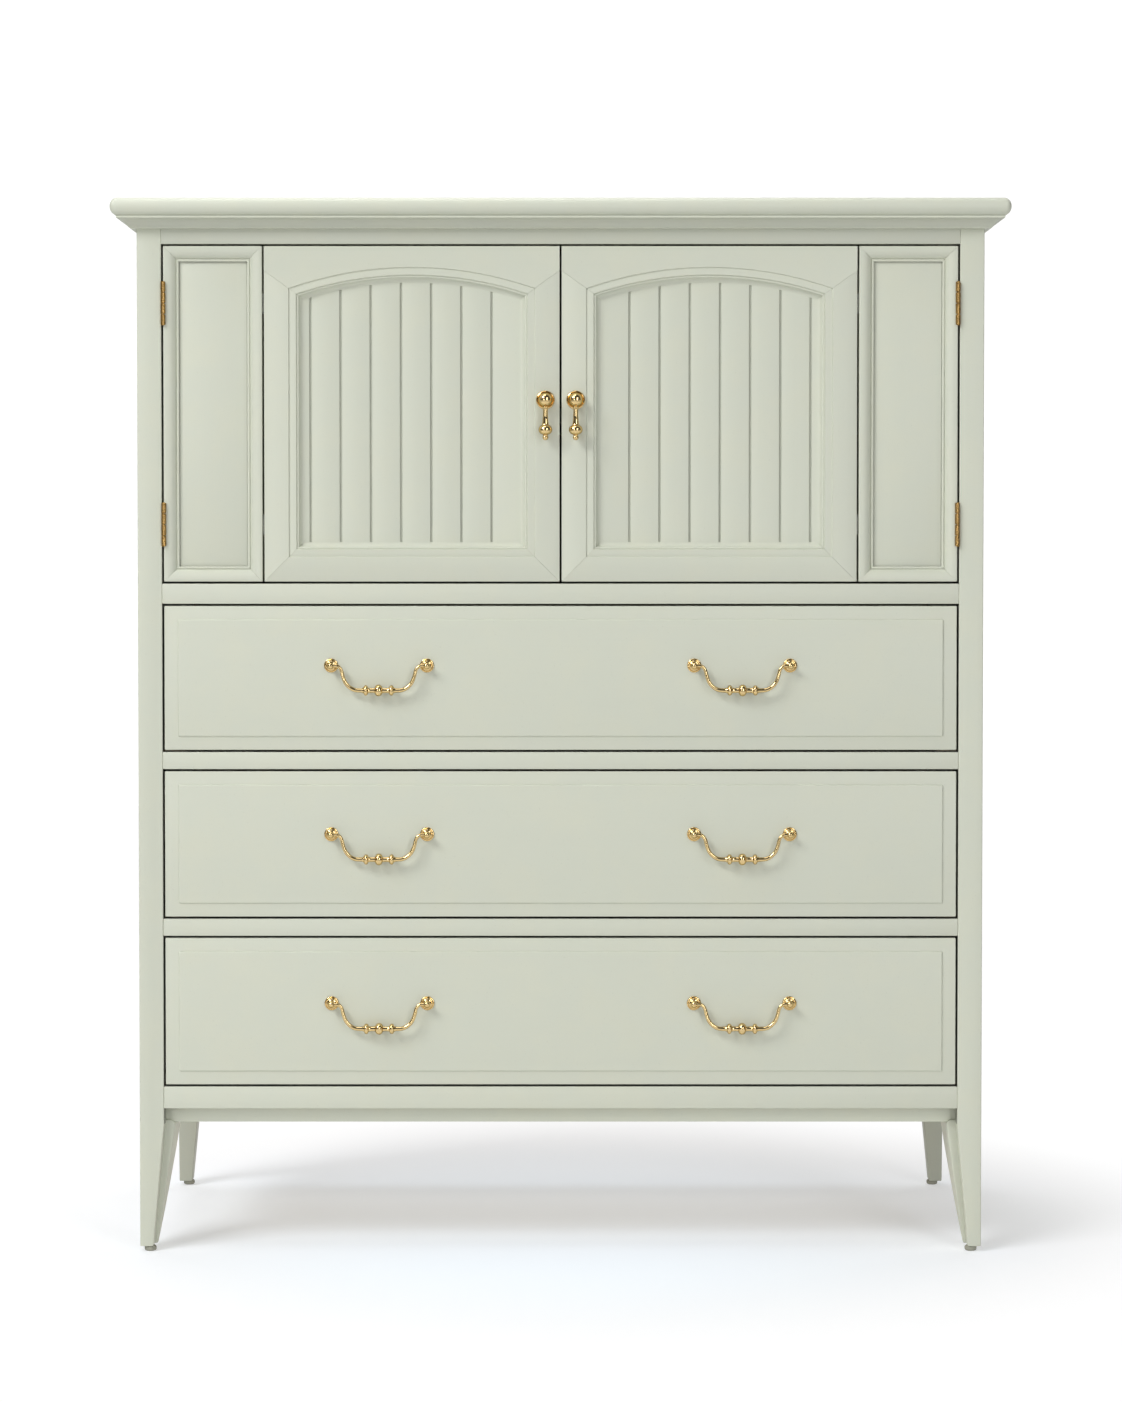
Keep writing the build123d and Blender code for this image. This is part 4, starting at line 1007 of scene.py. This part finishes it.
hinges()


# ---- Drop pulls on the doors ---------------------------------------------------------
drop_low, drop_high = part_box("left_drop_pull")
plate_low, plate_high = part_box("left_drop_pull_rosette")
drop_x = middle(drop_low.x, drop_high.x)
drop_z = middle(plate_low.z, plate_high.z)
drop_y = front_y - 12 * MM


def drop_rosette():
    """A dished rosette with its stud, and a tongue and eye that the drop hangs from."""
    rim = (
        [(0, -0.1), (11.2, -0.1), (11.2, 0.8)]
        + arc((11.2, 0.8), (10.9, 1.9), (9.8, 2.6), 5)[1:]
        + arc((9.8, 2.6), (6.9, 1.9), (5.4, 2.5), 7)[1:]
        + arc((5.4, 2.5), (4.9, 3.0), (4.2, 3.0), 3)[1:]
        + [(3.0, 3.4), (0, 3.4)]
    )
    stud = [(0, 0), (2.0, 0), (2.0, 18.6), (1.7, 19.0), (0, 19.0)]
    eye = [(0, -1.7), (4.2, -1.7), (4.6, -1.3), (4.6, 1.3), (4.2, 1.7), (0, 1.7)]
    tongue = board((drop_x - 1.7 * MM, drop_y, drop_z - 3.5 * MM),
                   (drop_x + 1.7 * MM, front_y - 2.0 * MM, drop_z + 3.5 * MM), 0.3 * MM)
    return together([
        soft(turned(mm(rim), (drop_x, front_y, drop_z), (0, -1, 0), 56)),
        soft(turned(mm(stud), (drop_x, front_y, drop_z), (0, 1, 0), 20)),
        tongue,
        soft(turned(mm(eye), (drop_x, drop_y, drop_z), (1, 0, 0), 28)),
    ])


def drop():
    """A ball, a neck ring, a stem that swells downward, a flattened drop and a small finial."""
    profile = (
        arc((0, 8.2), (8.2, 0), (3.4, -7.46), 18) + [(3.0, -7.7), (3.15, -8.3)]
        + arc((3.15, -8.3), (3.75, -9.1), (3.15, -9.9), 5)[1:]
        + [(2.9, -10.4), (2.8, -13.0), (2.9, -17.5), (3.15, -22.0), (3.55, -26.0), (3.95, -29.0)]
        + [(4.2, -30.0)] + arc((4.6, -30.5), (8.2, -35.4), (4.4, -41.2), 16)
        + [(3.1, -41.7), (2.6, -42.5)] + arc((2.7, -42.9), (3.45, -45.4), (0, -48.2), 10)
    )
    return soft(turned(mm(profile), (drop_x, drop_y, drop_z), (0, 0, 1), 48))


for side in SIDES:
    piece(side + "_door_rosette", sided(drop_rosette(), side), side + "_arched_leaf",
          [side + "_drop_pull_rosette"], [polished_brass])
    piece(side + "_door_drop", sided(drop(), side), side + "_drop_pull", [side + "_drop_pull"],
          [polished_brass], 50)


# ---- Drawers -------------------------------------------------------------------------
FIELD_INSET = 16 * MM
FIELD_RISE = 2.0 * MM
POST_SPACING = 114.3 * MM


def drawer_front(drawer):
    """A flat front with eased edges and a low raised field with rounded margins."""
    low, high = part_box(drawer + "_front")
    body_y = low.y + FIELD_RISE
    # the front's ends, top and bottom are painted darker, as painted shade in the gaps
    body = gap_shaded_board((low.x, body_y, low.z), high, 3)
    field = board((low.x + FIELD_INSET, low.y, low.z + FIELD_INSET),
                  (high.x - FIELD_INSET, body_y + 2.5 * MM, high.z - FIELD_INSET), 1.9 * MM, 5)
    piece(drawer + "_face", together([body, field]), drawer, [drawer + "_front"],
          [paint_across, paint_gap_shade], 28)


def drawer_box(drawer):
    """Two sides and a back round a ply bottom."""
    low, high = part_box(drawer + "_box")
    wall = 12 * MM
    side = painted(board(low, (low.x + wall, high.y, high.z), 0.9 * MM), 0)
    back = painted(board((low.x + wall, high.y - wall, low.z + 14 * MM),
                         (high.x - wall, high.y, high.z), 0.9 * MM), 1)
    boards = together([both(side), back])
    piece(drawer + "_sides_and_back", boards, drawer, [drawer + "_box"],
          [maple_deep, maple_across])
    piece(drawer + "_ply_bottom", board(*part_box(drawer + "_bottom"), 0.3 * MM), drawer,
          [drawer + "_bottom"], [ply_deep])


def pull_posts(drawer):
    """Two posts a bail on stepped rosettes, with studs behind; returns where the bails pivot."""
    low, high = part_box(drawer + "_pull_posts")
    face_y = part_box(drawer + "_front")[0].y
    z = middle(low.z, high.z)
    plate = 8.4
    post = (
        [(0, -0.1), (plate, -0.1), (plate, 0.7)]
        + arc((plate, 0.7), (8.2, 1.5), (7.4, 1.9), 4)[1:]
        + arc((7.4, 1.9), (6.2, 1.65), (5.5, 2.1), 4)[1:]
        + arc((5.5, 2.1), (5.1, 2.75), (4.2, 3.1), 4)[1:]
        + arc((4.2, 3.1), (3.0, 4.0), (2.6, 6.2), 5)[1:]
        + [(2.6, 7.4)] + arc((2.6, 7.4), (4.05, 11.0), (1.9, 14.5), 12)[1:]
        + arc((1.9, 14.5), (1.0, 14.95), (0, 15.0), 3)[1:]
    )
    stud = [(0, 0), (2.0, 0), (2.0, 20.2), (1.7, 20.5), (0, 20.5)]
    parts = []
    for x in (low.x + plate * MM, low.x + plate * MM + POST_SPACING):
        parts.append(soft(turned(mm(post), (x, face_y, z), (0, -1, 0), 40)))
        parts.append(soft(turned(mm(stud), (x, face_y, z), (0, 1, 0), 20)))
    piece(drawer + "_posts", both(together(parts)), drawer, [drawer + "_pull_posts"],
          [polished_brass])
    pivot_out = 11 * MM
    return face_y - pivot_out, z


# The left half of a bail's rod: place, handle before and handle after in mm, and the rod's radius
NECK = [
    ((-55.3, 0), (-56.5, 0), (-53.0, 0), 1.95),
    ((-50.4, -0.1), (-51.6, 0), (-47.4, -0.3), 2.0),
    ((-43.6, -7.6), (-44.2, -3.9), (-43.2, -10.2), 2.1),
    ((-40.3, -18.4), (-42.0, -14.6), (-37.4, -24.6), 2.25),
    ((-26.4, -29.1), (-31.2, -28.6), (-23.0, -29.4), 2.45),
    ((-16.0, -29.3), (-19.0, -29.3), (-13.0, -29.3), 2.7),
]


def collar(middle_place):
    """A turned collar on the grip, as (radius, distance) in mm."""
    return (
        [(3.0, middle_place - 4.2), (3.4, middle_place - 3.0)]
        + arc((3.6, middle_place - 2.6), (6.2, middle_place), (3.6, middle_place + 2.6), 10)
        + [(3.4, middle_place + 3.0), (3.0, middle_place + 4.2)]
    )


def bail_grip():
    """The turning on a bail's grip: a ball between two collars, as (radius, distance) in mm."""
    return (
        [(0, -21.5), (2.2, -21.5), (2.5, -20.2)] + collar(-15.2) + [(2.8, -9.0), (2.9, -6.4)]
        + arc((3.1, -4.6), (7.0, 0), (3.1, 4.6), 14)
        + [(2.9, 6.4), (2.8, 9.0)] + collar(15.2) + [(2.5, 20.2), (2.2, 21.5), (0, 21.5)]
    )


def bail(name, middle_x, pivot_y, pivot_z):
    """A swan-necked bail: bent rod that swells towards a turned grip with two collars and a ball."""
    def at(place, hand=1):
        return (middle_x + hand * place[0] * MM, pivot_y, pivot_z + place[1] * MM)

    path = [(at(place), at(before), at(after)) for place, before, after, radius in NECK]
    path += [
        (at(place, -1), at(after, -1), at(before, -1)) for place, before, after, radius in reversed(NECK)
    ]
    radii = [radius * MM for place, before, after, radius in NECK]
    rod = wire(path, radii + radii[::-1], 20)
    turning = turned(mm(bail_grip()), at((0, -29.3)), (1, 0, 0), 36)
    piece(name + "_bent_rod", soft(together([rod, turning])), name, [name],
          [polished_brass], 60)


for drawer in DRAWERS:
    drawer_front(drawer)
    drawer_box(drawer)
    pivot_y, pivot_z = pull_posts(drawer)
    for side in SIDES:
        name = drawer + "_" + side + "_bail"
        low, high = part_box(name)
        bail(name, middle(low.x, high.x), pivot_y, pivot_z)


# ---- Floor, camera and light -----------------------------------------------------------
def paper_sheet(name, size, turn, place, material):
    """A flat sheet of the set: its half width and half length, its turn about X and its place."""
    made = bmesh.new()
    bmesh.ops.create_grid(made, x_segments=1, y_segments=1, size=1.0)
    bmesh.ops.scale(made, vec=(*size, 1.0), verts=made.verts)
    spin = Matrix.Rotation(math.radians(turn), 3, "X")
    bmesh.ops.rotate(made, cent=(0, 0, 0), matrix=spin, verts=made.verts)
    bmesh.ops.translate(made, vec=place, verts=made.verts)
    mesh = bpy.data.meshes.new(name)
    made.to_mesh(mesh)
    made.free()
    mesh.materials.append(material)
    shown = bpy.data.objects.new(name, mesh)
    bpy.context.scene.collection.objects.link(shown)


def stage():
    """A plain pale floor, and a backdrop behind the object."""
    paper_sheet("floor", (9.0, 8.0), 0, (0, -1.0, -0.0002), floor_paper())
    paper_sheet("backdrop", (9.0, 4.0), 90, (0, 7.0, 3.9), backdrop_paper())


def camera():
    """A long lens, square to the front and a little above its middle."""
    data = bpy.data.cameras.new("camera")
    data.sensor_fit = "VERTICAL"
    data.sensor_height = 36.0
    data.lens = 89.4
    data.shift_y = -0.032
    data.clip_end = 60.0
    holder = bpy.data.objects.new("camera", data)
    holder.location = (0.0005, front_y - 4.15, 0.843)
    holder.rotation_euler = (math.radians(90 - 1.78), 0, 0)
    bpy.context.scene.collection.objects.link(holder)
    bpy.context.scene.camera = holder


def softbox(name, place, target, size, power):
    """A white softbox of a width and height in metres, aimed at a point."""
    data = bpy.data.lights.new(name, "AREA")
    data.shape = "RECTANGLE"
    data.size, data.size_y = size
    data.energy = power
    holder = bpy.data.objects.new(name, data)
    holder.location = place
    aim = Vector(target) - Vector(place)
    holder.rotation_euler = aim.to_track_quat("-Z", "Y").to_euler()
    bpy.context.scene.collection.objects.link(holder)


def studio():
    """Key from the upper left, weaker fill, a top light, and two strips that the brass reflects."""
    softbox("key_softbox", (-3.3, -3.3, 4.1), (0, 0, 0.6), (2.6, 1.8), 172)
    softbox("fill_softbox", (2.4, -4.4, 2.8), (0, 0, 0.3), (2.0, 1.6), 36)
    softbox("top_softbox", (-0.4, 0.1, 3.6), (0, 0, 0), (3.0, 1.6), 50)
    softbox("left_strip", (-1.9, -4.3, 0.9), (0, 0, 0.6), (0.5, 1.6), 17)
    softbox("right_strip", (1.9, -4.3, 0.9), (0, 0, 0.6), (0.5, 1.6), 22)
    world = bpy.data.worlds.new("studio_air")
    world.use_nodes = True
    air = world.node_tree.nodes["Background"].inputs
    air["Color"].default_value = (0.95, 0.97, 1.0, 1.0)
    air["Strength"].default_value = 0.10
    bpy.context.scene.world = world
    view = bpy.context.scene.view_settings
    view.view_transform = "Standard"
    view.look = "None"
    view.exposure = 0.0
    view.gamma = 1.0


stage()
camera()
studio()
